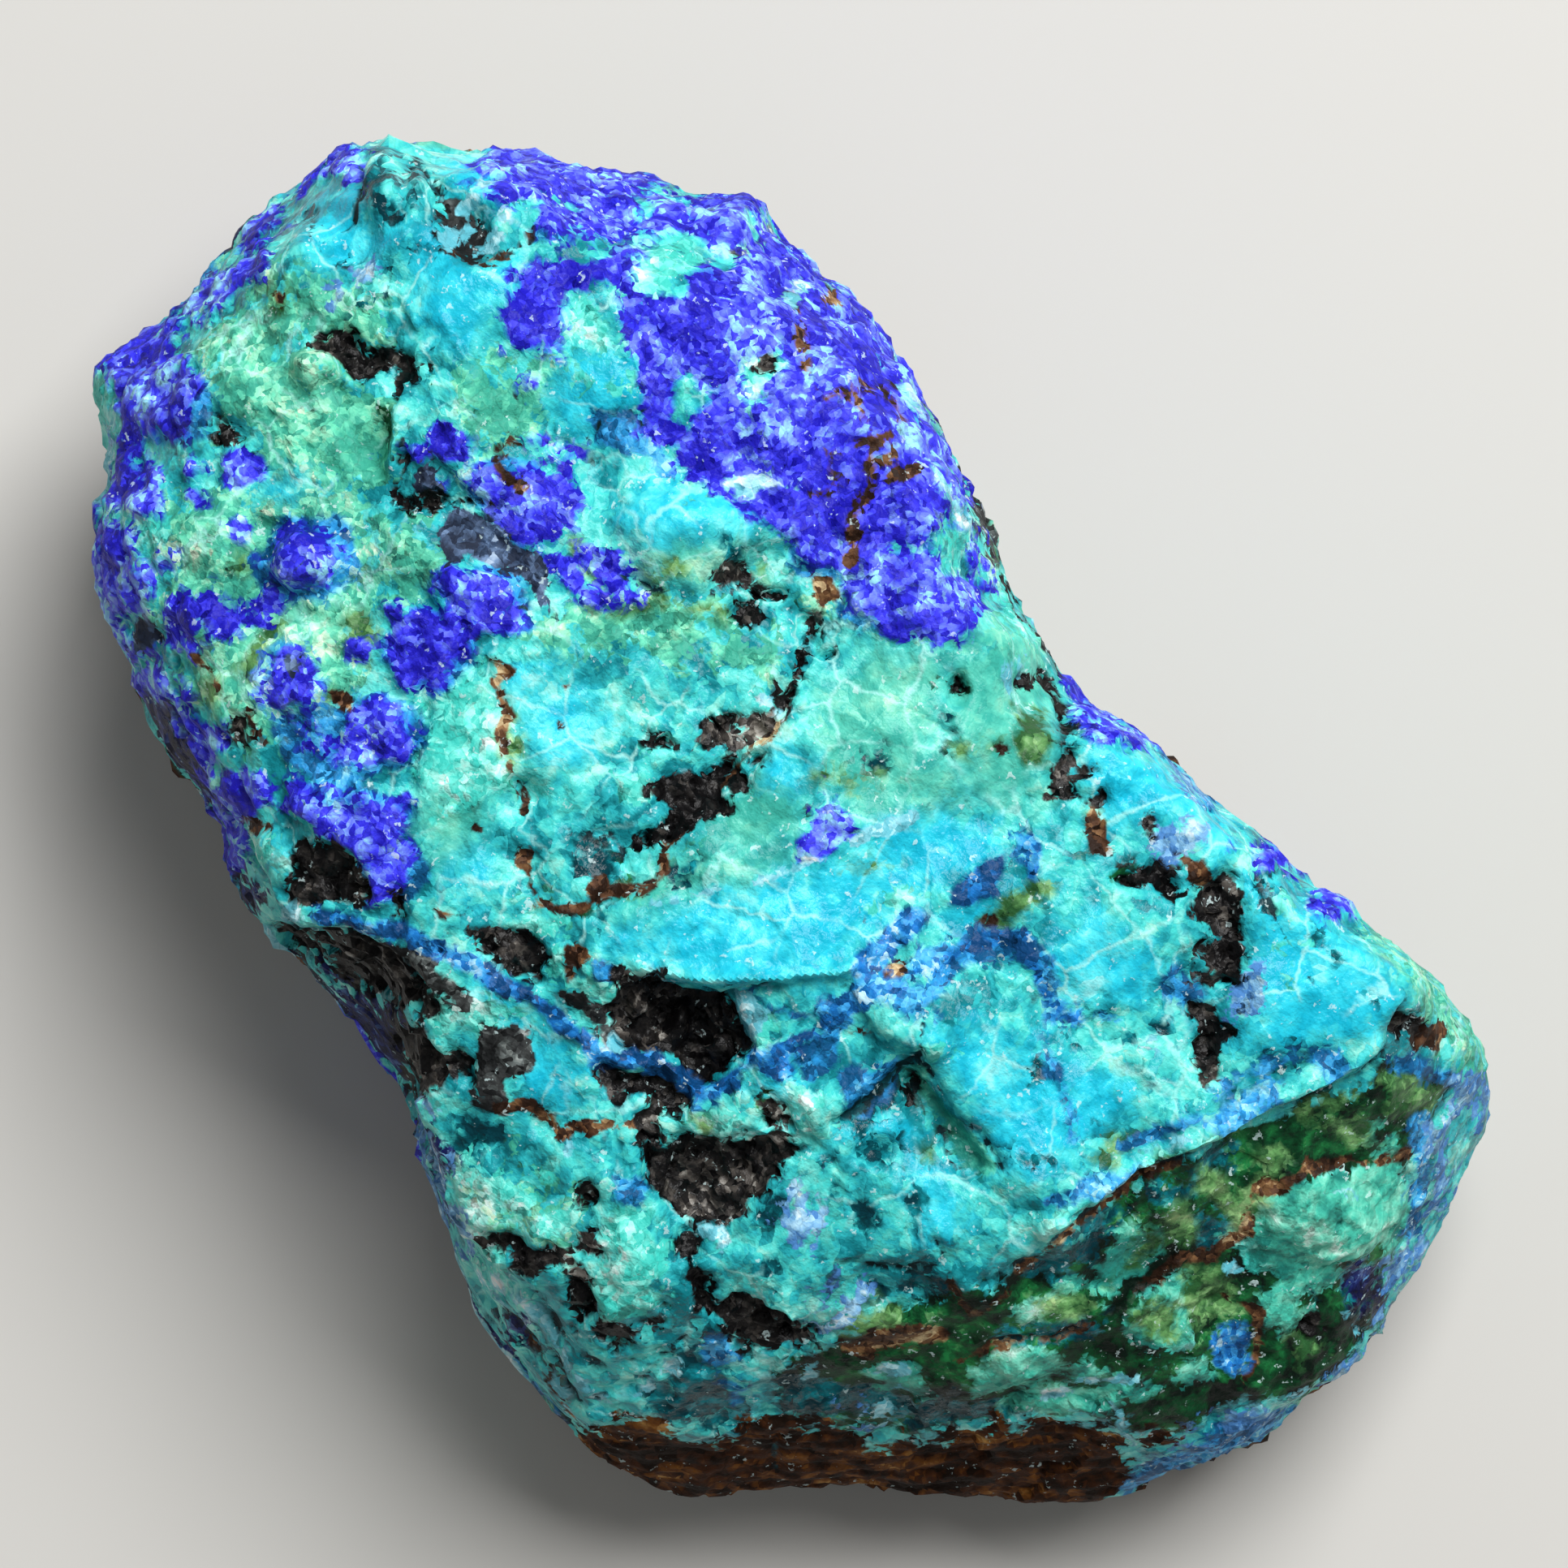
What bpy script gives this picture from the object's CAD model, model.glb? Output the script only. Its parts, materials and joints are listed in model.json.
"""Phoenix stone specimen: a rough lump of copper ore in which azurite, chrysocolla, malachite,
tenorite and ironstone have grown together. It lies on its flat broken back, face up.

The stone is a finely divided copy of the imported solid. The minerals that show on the face were
outlined by eye on the reference picture. Each one becomes a distance stored on the mesh, which
its relief and its material both follow, so that colour and shape belong together.
"""

import json
import math
from typing import NamedTuple

import bpy
import numpy as np
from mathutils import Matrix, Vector, noise

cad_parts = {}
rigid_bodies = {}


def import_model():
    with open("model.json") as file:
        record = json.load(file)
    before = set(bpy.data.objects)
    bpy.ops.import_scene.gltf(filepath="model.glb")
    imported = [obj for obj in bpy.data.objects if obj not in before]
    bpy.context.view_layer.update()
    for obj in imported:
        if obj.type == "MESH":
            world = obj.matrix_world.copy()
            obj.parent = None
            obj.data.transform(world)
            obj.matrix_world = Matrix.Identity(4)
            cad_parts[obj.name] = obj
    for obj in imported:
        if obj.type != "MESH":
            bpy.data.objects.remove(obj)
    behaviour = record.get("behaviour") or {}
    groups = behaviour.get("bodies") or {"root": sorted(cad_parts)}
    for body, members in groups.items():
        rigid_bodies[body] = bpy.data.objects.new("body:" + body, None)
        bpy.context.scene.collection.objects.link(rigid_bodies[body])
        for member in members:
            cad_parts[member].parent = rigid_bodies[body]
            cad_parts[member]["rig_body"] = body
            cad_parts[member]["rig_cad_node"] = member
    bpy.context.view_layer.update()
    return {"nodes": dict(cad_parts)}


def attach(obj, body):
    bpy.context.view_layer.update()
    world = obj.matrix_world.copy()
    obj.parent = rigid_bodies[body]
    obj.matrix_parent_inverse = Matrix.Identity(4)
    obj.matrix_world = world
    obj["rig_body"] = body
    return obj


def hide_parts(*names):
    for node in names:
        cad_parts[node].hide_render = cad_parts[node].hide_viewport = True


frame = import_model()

bl_info = {
    "name": "Phoenix Stone Specimen",
    "version": (1, 0, 0),
    "blender": (4, 5, 0),
    "location": "View3D > Sidebar > Specimen",
    "description": "Dresses a lump of azurite and chrysocolla ore and lights it",
    "category": "Add Mesh",
}

MM = 0.001  # Blender works in metres

# The reference picture looks straight down on the face. These turn its pixels into places.
PICTURE_SIZE = 1932  # pixels along each side
PICTURE_LENGTH = 1952  # the stone's length in the picture
STONE_LENGTH = 70.0  # millimetres
PICTURE_MIDDLE = 966.0
ORIGIN_IN_PICTURE = (888.6, 1085.4)  # the middle of the stone's length and width
LENGTH_ANGLE = math.radians(46)  # the length runs down to the right
EYE_HEIGHT = 325.0  # millimetres above the floor
OUTLINE_HEIGHT = 10.0  # where the outline's own scale holds
SENSOR = 36.0  # millimetres across

# The window light, in metres
LIGHT_ANGLE = LENGTH_ANGLE + math.radians(60)  # where it stands, round the stone
LIGHT_DISTANCE, LIGHT_HEIGHT, LIGHT_WIDTH = 0.35, 0.5, 0.35

# Where the traced face gives way to the walls and back. Lengths are in millimetres.
FACE_STARTS, FACE_ENDS = -0.08, 0.08  # how far up a normal turns before the traced face holds
BORDER_BAY, BORDER_DEPTH = 5.0, 0.22  # size of the bays in that border, and how deep they reach
RIM_HEIGHT = 10.0  # about where the walls bend over into the face
RIM_PULL = 0.02  # how much each millimetre above the rim counts towards the face
WALL_INSET = 0.18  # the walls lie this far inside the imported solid
REST_STARTS, REST_ENDS = 0.2, 1.6  # the relief grows between these heights above the floor
FOOT = 0.3  # points below this height stay where they are

# What is cut finely. Normals that point up more than the first belong to the face, and those
# that point down more than the second to the flat that the stone rests on.
DETAIL_STARTS = 0.22
UNDERSIDE = -0.98
CREASE = math.radians(24)  # edges sharper than this stay crisp

# Edges of the minerals, in millimetres
NOISE_SEED = 1  # without one, the noise that bends edges follows the clock
REACH = 3.0  # distances to a mineral's edge are kept up to this
BEND_SIZE, BEND = 1.6, 0.22  # how the edges drawn by hand are bent
WANDER_SIZE, WANDER = 1.3, 1.5  # bays in a mineral's edge, and how far they follow its raggedness
SOFT_EDGE = 0.3  # width over which a mineral's relief begins
RISE_EDGE = 0.35  # width over which a mineral rises out of the stone

# The sides and back, in millimetres
SEED_STEPS = 7.3, 3.1, 5.7  # move each mineral's clouds away from the last one's
CLOUD_SLOPE = 0.4  # how steeply a cloud's strength becomes a distance
LOW_MINERALS = "ironstone", "tenorite", "gangue"
LOW_WALL, LOW_PULL = 6.0, 0.4  # height below which those keep on the walls, and how firmly
HOST_GROWS = 1.4  # how much further the brown host rock reaches there
AZURITE_END, AZURITE_PULL = -2.0, 0.2  # the azurite thins out past this place along the length

# Sizes in the material, in millimetres
FINE, MEDIUM, LARGE = 0.32, 0.75, 2.1  # the broken chips
PLATE = 3.4  # the smooth plates between healed cracks
GRIT, BAY, CLOUD = 1 / 4.5, 1 / 1.3, 1 / 0.33  # the three noises
SWAY = 0.7  # how far the bays push the chips' edges about

# Where each mineral shows on the face. A patch is a closed outline and a vein is a line, both
# as x, y, x, y and so on in pixels of the reference picture. A vein's first number is its
# width in pixels. A ball is x, y, half width, half height.
AZURITE = {
    "patches": {
        "upper_left_rim": [
            138, 450, 150, 437, 173, 410, 200, 398, 227, 392, 230, 400, 223, 417, 207, 433, 190,
            450, 163, 470, 143, 487, 138, 470],
        "upper_left_strip": [
            227, 392, 253, 367, 280, 343, 300, 327, 310, 283, 320, 267, 333, 247, 343, 253, 340,
            270, 320, 277, 313, 327, 293, 353, 267, 380, 237, 397],
        "upper_left_fleck": [363, 230, 373, 217, 390, 200, 400, 190, 397, 207, 380, 223, 370, 233],
        "left_ball_group": [
            150, 483, 177, 463, 200, 447, 230, 450, 247, 463, 243, 487, 233, 510, 227, 533, 207,
            540, 183, 533, 163, 523, 152, 503],
        "left_lobe_upper": [
            147, 533, 177, 550, 180, 570, 190, 593, 193, 627, 177, 637, 157, 630, 140, 607, 137,
            580, 150, 563],
        "left_lobe_lower": [
            117, 623, 133, 617, 140, 633, 160, 650, 173, 663, 177, 690, 187, 713, 187, 730, 177,
            743, 160, 747, 153, 763, 160, 783, 190, 790, 196, 812, 165, 812, 140, 775, 127, 743,
            117, 717, 112, 690, 113, 650],
        "left_middle": [
            473, 753, 490, 748, 507, 763, 527, 770, 545, 785, 565, 800, 560, 818, 545, 812, 548,
            830, 533, 840, 507, 845, 485, 835, 477, 800, 487, 780],
        "left_middle_low": [
            437, 870, 457, 870, 480, 873, 497, 883, 507, 900, 497, 917, 480, 930, 457, 940, 433,
            943, 420, 937, 420, 917, 433, 897],
        "by_slate": [
            553, 703, 567, 700, 593, 707, 613, 727, 627, 743, 630, 757, 613, 780, 597, 777, 577,
            770, 563, 750, 560, 730],
        "lower_left": [
            350, 967, 363, 957, 383, 970, 403, 983, 437, 990, 463, 993, 490, 990, 497, 1007, 497,
            1030, 513, 1043, 507, 1060, 497, 1077, 490, 1097, 477, 1110, 463, 1107, 457, 1093,
            450, 1077, 440, 1060, 423, 1047, 403, 1033, 393, 1017, 377, 1003, 357, 990],
        "granular": [
            600, 590, 640, 583, 690, 590, 713, 610, 705, 650, 680, 680, 640, 677, 620, 650, 600,
            635],
        "diagonal_stripe": [
            670, 683, 687, 683, 700, 700, 720, 717, 737, 730, 743, 740, 727, 740, 710, 727, 693,
            717, 677, 703],
        "diagonal_stripe_2": [
            733, 683, 753, 683, 760, 697, 770, 707, 773, 723, 780, 730, 763, 737, 753, 723, 747,
            707],
        "top_band": [
            597, 193, 607, 180, 637, 180, 667, 187, 687, 193, 700, 207, 713, 213, 733, 210, 753,
            207, 773, 210, 800, 220, 820, 233, 800, 237, 780, 227, 763, 233, 747, 227, 740, 243,
            720, 250, 700, 243, 680, 247, 660, 253, 640, 247, 623, 233, 623, 217, 603, 203],
        "under_band": [667, 253, 693, 247, 713, 253, 710, 267, 700, 283, 680, 287, 667, 273],
        "band_azure": [713, 257, 745, 240, 785, 250, 790, 285, 762, 305, 725, 300],
        "shoulder_nodule": [
            853, 260, 880, 253, 923, 257, 930, 273, 917, 293, 890, 298, 867, 293, 853, 277],
        "tongue": [713, 343, 733, 330, 753, 323, 773, 330, 777, 343, 760, 350, 733, 350],
        "tongue_left": [657, 350, 660, 318, 680, 305, 700, 315, 695, 345, 675, 352],
        "island": [
            635, 345, 660, 322, 690, 305, 722, 318, 738, 345, 720, 375, 708, 410, 680, 428, 650,
            430, 625, 420, 620, 395, 632, 372],
        "crown": [
            757, 377, 773, 360, 793, 367, 803, 380, 820, 367, 837, 370, 847, 347, 860, 330, 880,
            330, 900, 337, 913, 323, 920, 310, 943, 300, 960, 303, 980, 310, 1006, 335, 1030, 352,
            1062, 368, 1078, 400, 1092, 445, 1108, 480, 1125, 512, 1145, 545, 1165, 590, 1178,
            622, 1160, 640, 1133, 650, 1120, 670, 1100, 683, 1060, 700, 1048, 697, 1020, 697,
            1000, 690, 985, 670, 960, 655, 940, 650, 923, 633, 907, 617, 890, 607, 873, 593, 857,
            580, 843, 567, 827, 550, 813, 547, 800, 533, 793, 510, 800, 493, 797, 470, 800, 450,
            790, 433, 773, 427, 757, 413, 760, 397],
        "crown_low": [
            1053, 650, 1047, 670, 1040, 690, 1047, 703, 1040, 727, 1053, 750, 1070, 757, 1087,
            767, 1113, 777, 1127, 785, 1147, 787, 1163, 780, 1193, 783, 1197, 767, 1203, 753,
            1200, 737, 1213, 727, 1200, 717, 1177, 710, 1153, 700, 1147, 680, 1133, 665, 1100, 670],
        "right_rim": [
            1317, 840, 1330, 847, 1343, 867, 1360, 883, 1380, 893, 1430, 905, 1430, 917, 1357,
            913, 1343, 897, 1327, 870],
        "triangle": [
            990, 1040, 1003, 1000, 1020, 977, 1027, 983, 1037, 1003, 1043, 1027, 1027, 1043, 1007,
            1057, 990, 1057],
    },
    "balls": [
        [378, 690, 40, 33], [560, 552, 22, 17], [603, 590, 14, 11], [630, 606, 24, 16],
        [669, 552, 18, 13], [540, 592, 12, 9], [590, 742, 44, 36], [520, 796, 46, 38],
        [466, 905, 40, 36], [515, 560, 12, 10], [445, 800, 14, 12], [300, 650, 12, 9],
        [330, 745, 16, 10], [262, 905, 20, 16], [395, 910, 12, 14], [650, 470, 10, 8],
        [700, 560, 14, 10], [425, 198, 22, 18], [233, 577, 17, 15], [238, 613, 10, 9],
        [298, 577, 18, 18], [228, 763, 17, 24], [219, 797, 15, 14], [276, 768, 22, 32],
        [206, 697, 13, 13], [357, 838, 34, 34], [313, 976, 20, 17], [552, 538, 15, 15],
        [813, 273, 28, 28], [1050, 380, 24, 20], [1036, 524, 19, 21], [1079, 512, 20, 29],
        [1117, 537, 15, 15], [1124, 570, 24, 15], [1170, 638, 8, 9], [1193, 677, 8, 10],
        [1193, 699, 9, 5], [823, 337, 9, 9], [1577, 1055, 24, 9], [1647, 1117, 20, 10],
        [700, 228, 80, 26], [785, 348, 10, 8], [870, 318, 12, 8],
    ],
    "veins": {
        "right_edge": [18, 1088, 430, 1120, 500, 1150, 560, 1180, 612],
        "left_wall": [20, 180, 835, 215, 850, 243, 895, 262, 945, 285, 980, 293, 1050],
    },
}

TENORITE = {
    "patches": {
        "crust": [
            377, 423, 390, 417, 410, 420, 423, 412, 440, 417, 450, 433, 470, 430, 493, 432, 513,
            437, 523, 447, 513, 457, 503, 470, 500, 487, 490, 490, 480, 480, 477, 460, 457, 470,
            443, 463, 430, 447, 417, 440, 407, 427, 387, 425],
        "left_streak": [
            250, 500, 257, 492, 267, 503, 277, 517, 293, 520, 307, 533, 297, 540, 280, 547, 267,
            533, 257, 517],
        "middle_streak": [
            480, 603, 497, 607, 517, 613, 547, 610, 580, 613, 603, 617, 607, 623, 580, 620, 553,
            620, 530, 627, 507, 623, 480, 623],
        "under_bulge": [
            877, 717, 893, 700, 913, 693, 923, 703, 930, 717, 947, 730, 973, 727, 973, 737, 957,
            740, 933, 735, 913, 727, 897, 723, 887, 727],
        "vein_end": [993, 760, 1010, 760, 1017, 773, 1017, 790, 1003, 800, 990, 800, 987, 783],
        "diagonal_low": [
            803, 977, 813, 963, 830, 953, 843, 943, 857, 960, 870, 957, 883, 960, 890, 980, 897,
            997, 880, 1007, 863, 1013, 847, 1023, 830, 1037, 817, 1050, 813, 1030, 823, 1013, 830,
            997, 817, 987],
        "diagonal_high": [
            897, 967, 910, 947, 930, 930, 943, 927, 940, 940, 923, 960, 920, 970, 900, 977],
        "diagonal_middle": [
            873, 900, 883, 887, 897, 890, 900, 903, 913, 913, 907, 927, 880, 930, 853, 923],
        "right_streak": [
            1300, 890, 1310, 883, 1317, 883, 1327, 903, 1327, 917, 1317, 940, 1310, 950, 1313,
            963, 1327, 977, 1340, 983, 1360, 980, 1360, 987, 1347, 990, 1327, 983, 1307, 983,
            1293, 977, 1293, 967, 1303, 953, 1302, 927],
        "lower_left": [
            360, 1060, 373, 1037, 393, 1030, 410, 1040, 430, 1053, 447, 1077, 453, 1097, 430,
            1113, 393, 1117, 390, 1130, 360, 1120, 347, 1113, 347, 1097, 353, 1083],
        "low_shoulder": [
            577, 1150, 593, 1142, 617, 1142, 633, 1147, 653, 1147, 667, 1163, 673, 1177, 663,
            1190, 667, 1203, 663, 1213, 643, 1203, 627, 1197, 610, 1183, 597, 1173, 583, 1163],
        "big_pit": [
            763, 1197, 780, 1192, 803, 1197, 823, 1197, 827, 1217, 837, 1233, 850, 1242, 867,
            1237, 883, 1237, 903, 1250, 913, 1270, 917, 1290, 903, 1307, 893, 1320, 877, 1330,
            863, 1333, 850, 1323, 837, 1303, 817, 1297, 797, 1297, 773, 1290, 760, 1270, 750,
            1260, 747, 1243, 767, 1233, 770, 1217],
        "below_pit": [
            743, 1317, 760, 1323, 783, 1323, 800, 1317, 823, 1327, 843, 1343, 843, 1363, 823,
            1380, 810, 1393, 793, 1393, 783, 1377, 800, 1357, 783, 1343, 763, 1360, 753, 1357,
            740, 1340],
        "lower_crust": [
            790, 1410, 850, 1400, 867, 1407, 893, 1407, 917, 1393, 950, 1393, 970, 1400, 983,
            1410, 1000, 1413, 1000, 1420, 983, 1427, 963, 1440, 950, 1455, 943, 1467, 923, 1483,
            910, 1503, 880, 1507, 850, 1507, 830, 1490, 807, 1473, 800, 1450, 793, 1437],
        "above_crust": [
            937, 1383, 947, 1360, 963, 1367, 977, 1387, 977, 1397, 960, 1397, 940, 1393],
        "chain": [
            850, 1510, 863, 1530, 860, 1563, 880, 1583, 877, 1603, 893, 1617, 903, 1603, 923,
            1597, 943, 1610, 970, 1630, 1000, 1645, 1000, 1660, 950, 1667, 927, 1670, 907, 1657,
            893, 1640, 877, 1630, 862, 1600, 845, 1570, 840, 1530],
        "crust_dash": [
            597, 1523, 617, 1520, 637, 1523, 653, 1537, 680, 1537, 677, 1550, 670, 1563, 657,
            1577, 643, 1577, 633, 1563, 637, 1547, 617, 1540, 600, 1537],
        "crust_letter": [
            690, 1547, 713, 1550, 727, 1567, 727, 1577, 713, 1583, 717, 1597, 733, 1607, 733,
            1617, 720, 1637, 710, 1640, 700, 1623, 690, 1597, 700, 1587, 703, 1570],
        "crust_top": [720, 1517, 737, 1513, 733, 1530, 743, 1550, 723, 1550, 713, 1537],
        "crust_foot": [
            723, 1643, 743, 1633, 770, 1633, 797, 1627, 820, 1613, 813, 1630, 790, 1650, 760,
            1663, 737, 1660, 723, 1650],
        "right_gangue": [
            1377, 1087, 1397, 1073, 1417, 1063, 1433, 1080, 1450, 1090, 1477, 1097, 1440, 1100,
            1413, 1093, 1397, 1085],
        "right_band": [
            1500, 1077, 1513, 1073, 1527, 1090, 1533, 1117, 1530, 1150, 1533, 1180, 1530, 1190,
            1517, 1217, 1500, 1227, 1480, 1213, 1483, 1193, 1493, 1197, 1477, 1170, 1483, 1160,
            1500, 1153, 1493, 1143, 1473, 1137, 1463, 1127, 1473, 1107, 1487, 1097, 1497, 1097],
        "right_band_low": [
            1470, 1240, 1483, 1237, 1500, 1230, 1500, 1250, 1497, 1270, 1503, 1300, 1497, 1333,
            1483, 1340, 1473, 1313, 1470, 1283, 1477, 1267],
        "recess": [
            330, 1142, 375, 1150, 420, 1156, 470, 1176, 515, 1206, 528, 1245, 505, 1255, 470,
            1232, 430, 1225, 400, 1190, 360, 1185],
        "recess_low": [470, 1275, 515, 1262, 545, 1300, 540, 1345, 500, 1350, 485, 1310],
        "notch": [1710, 1260, 1727, 1237, 1753, 1260, 1743, 1273, 1720, 1280],
    },
    "balls": [
        [538, 250, 6, 18], [925, 755, 18, 15], [829, 917, 12, 6], [929, 900, 9, 8],
        [963, 863, 10, 16], [1021, 802, 9, 8], [805, 1035, 12, 8], [1332, 955, 5, 5],
        [1258, 840, 5, 5], [497, 567, 7, 7], [484, 612, 9, 11], [803, 1403, 13, 13],
        [930, 1350, 7, 10], [730, 1472, 13, 11], [1517, 1273, 7, 7], [1418, 1022, 8, 14],
        [945, 450, 10, 10], [490, 1120, 10, 18], [1475, 1200, 8, 10], [1175, 846, 9, 14],
        [293, 907, 9, 14], [540, 1165, 14, 8], [1620, 1640, 14, 16], [1745, 1262, 12, 12],
        [1121, 1350, 8, 12], [570, 1307, 18, 18],
    ],
    "veins": {
        "black_seam": [9, 990, 795, 975, 845, 960, 880],
        "by_diagonal": [10, 955, 880, 930, 905, 905, 935, 885, 950],
        "crust_link": [13, 700, 1555, 665, 1545],
        "rim": [6, 1317, 883, 1307, 860, 1290, 827],
    },
}

CRACKS = {
    "patches": {},
    "balls": [[728, 567, 9, 9]],
    "veins": {
        "top": [3, 510, 187, 530, 217, 547, 223],
        "top_middle": [2, 607, 313, 627, 313, 653, 300, 657, 277],
        "mint_left": [2, 613, 447, 627, 463, 640, 500, 623, 507],
        "slate": [3, 643, 747, 667, 753, 693, 763, 703, 758],
        "bulge_foot": [4, 763, 712, 800, 722, 850, 735, 890, 727],
        "below_pit": [3, 943, 747, 980, 757],
        "block": [5, 720, 1027, 740, 1023, 757, 1033, 767, 1047, 773, 1070, 783, 1080],
        "v_outer": [
            6, 1133, 1303, 1147, 1327, 1167, 1357, 1183, 1380, 1203, 1400, 1220, 1423, 1232, 1447],
        "v_inner": [4, 1113, 1337, 1127, 1350, 1137, 1367, 1157, 1403, 1173, 1430, 1190, 1447],
        "v_left": [7, 1133, 1303, 1113, 1323, 1083, 1350, 1050, 1375, 1027, 1380],
        "globe_slot": [
            4, 1040, 1563, 1060, 1567, 1083, 1570, 1120, 1572, 1150, 1563, 1163, 1550, 1163, 1537,
            1150, 1522],
        "crease": [
            6, 1710, 1290, 1680, 1318, 1640, 1345, 1613, 1357, 1587, 1360, 1550, 1377, 1500, 1400,
            1460, 1420, 1427, 1430, 1403, 1450, 1350, 1490, 1300, 1523, 1250, 1560, 1215, 1580],
        "cyan_top": [4, 723, 537, 750, 513, 767, 503, 787, 510, 793, 527],
        "triangle_left": [4, 985, 1012, 1000, 1010, 1018, 980, 1035, 1003],
        "under_slab": [4, 830, 1215, 850, 1238, 880, 1238, 905, 1225, 950, 1212],
        "wall_top": [4, 395, 290, 420, 270, 440, 240, 445, 200],
        "knob": [4, 505, 200, 500, 240, 480, 275, 450, 285],
        "left_ridge": [4, 480, 330, 470, 380, 490, 430],
        "left_ridge_2": [4, 520, 490, 500, 540, 495, 600],
        "lower_left": [4, 595, 1600, 640, 1640, 690, 1690, 715, 1735, 745, 1720],
        "lower_left_2": [4, 600, 1560, 640, 1580, 690, 1650, 740, 1690, 800, 1680, 850, 1650],
        "edge_low": [4, 777, 1713, 803, 1697, 850, 1650],
        "right_fold": [4, 1543, 1053, 1550, 1087, 1567, 1120, 1590, 1165, 1620, 1210],
        "slab_right": [3, 1140, 1250, 1137, 1300],
        "green_face": [3, 1610, 1590, 1650, 1620, 1690, 1650],
        "green_face_2": [2, 1225, 1655, 1300, 1650, 1345, 1625, 1400, 1600],
        "brown_split": [5, 955, 1775, 958, 1800, 952, 1825],
        "recess_top": [5, 345, 1140, 400, 1150, 450, 1163, 500, 1190, 525, 1235],
    },
}

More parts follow.
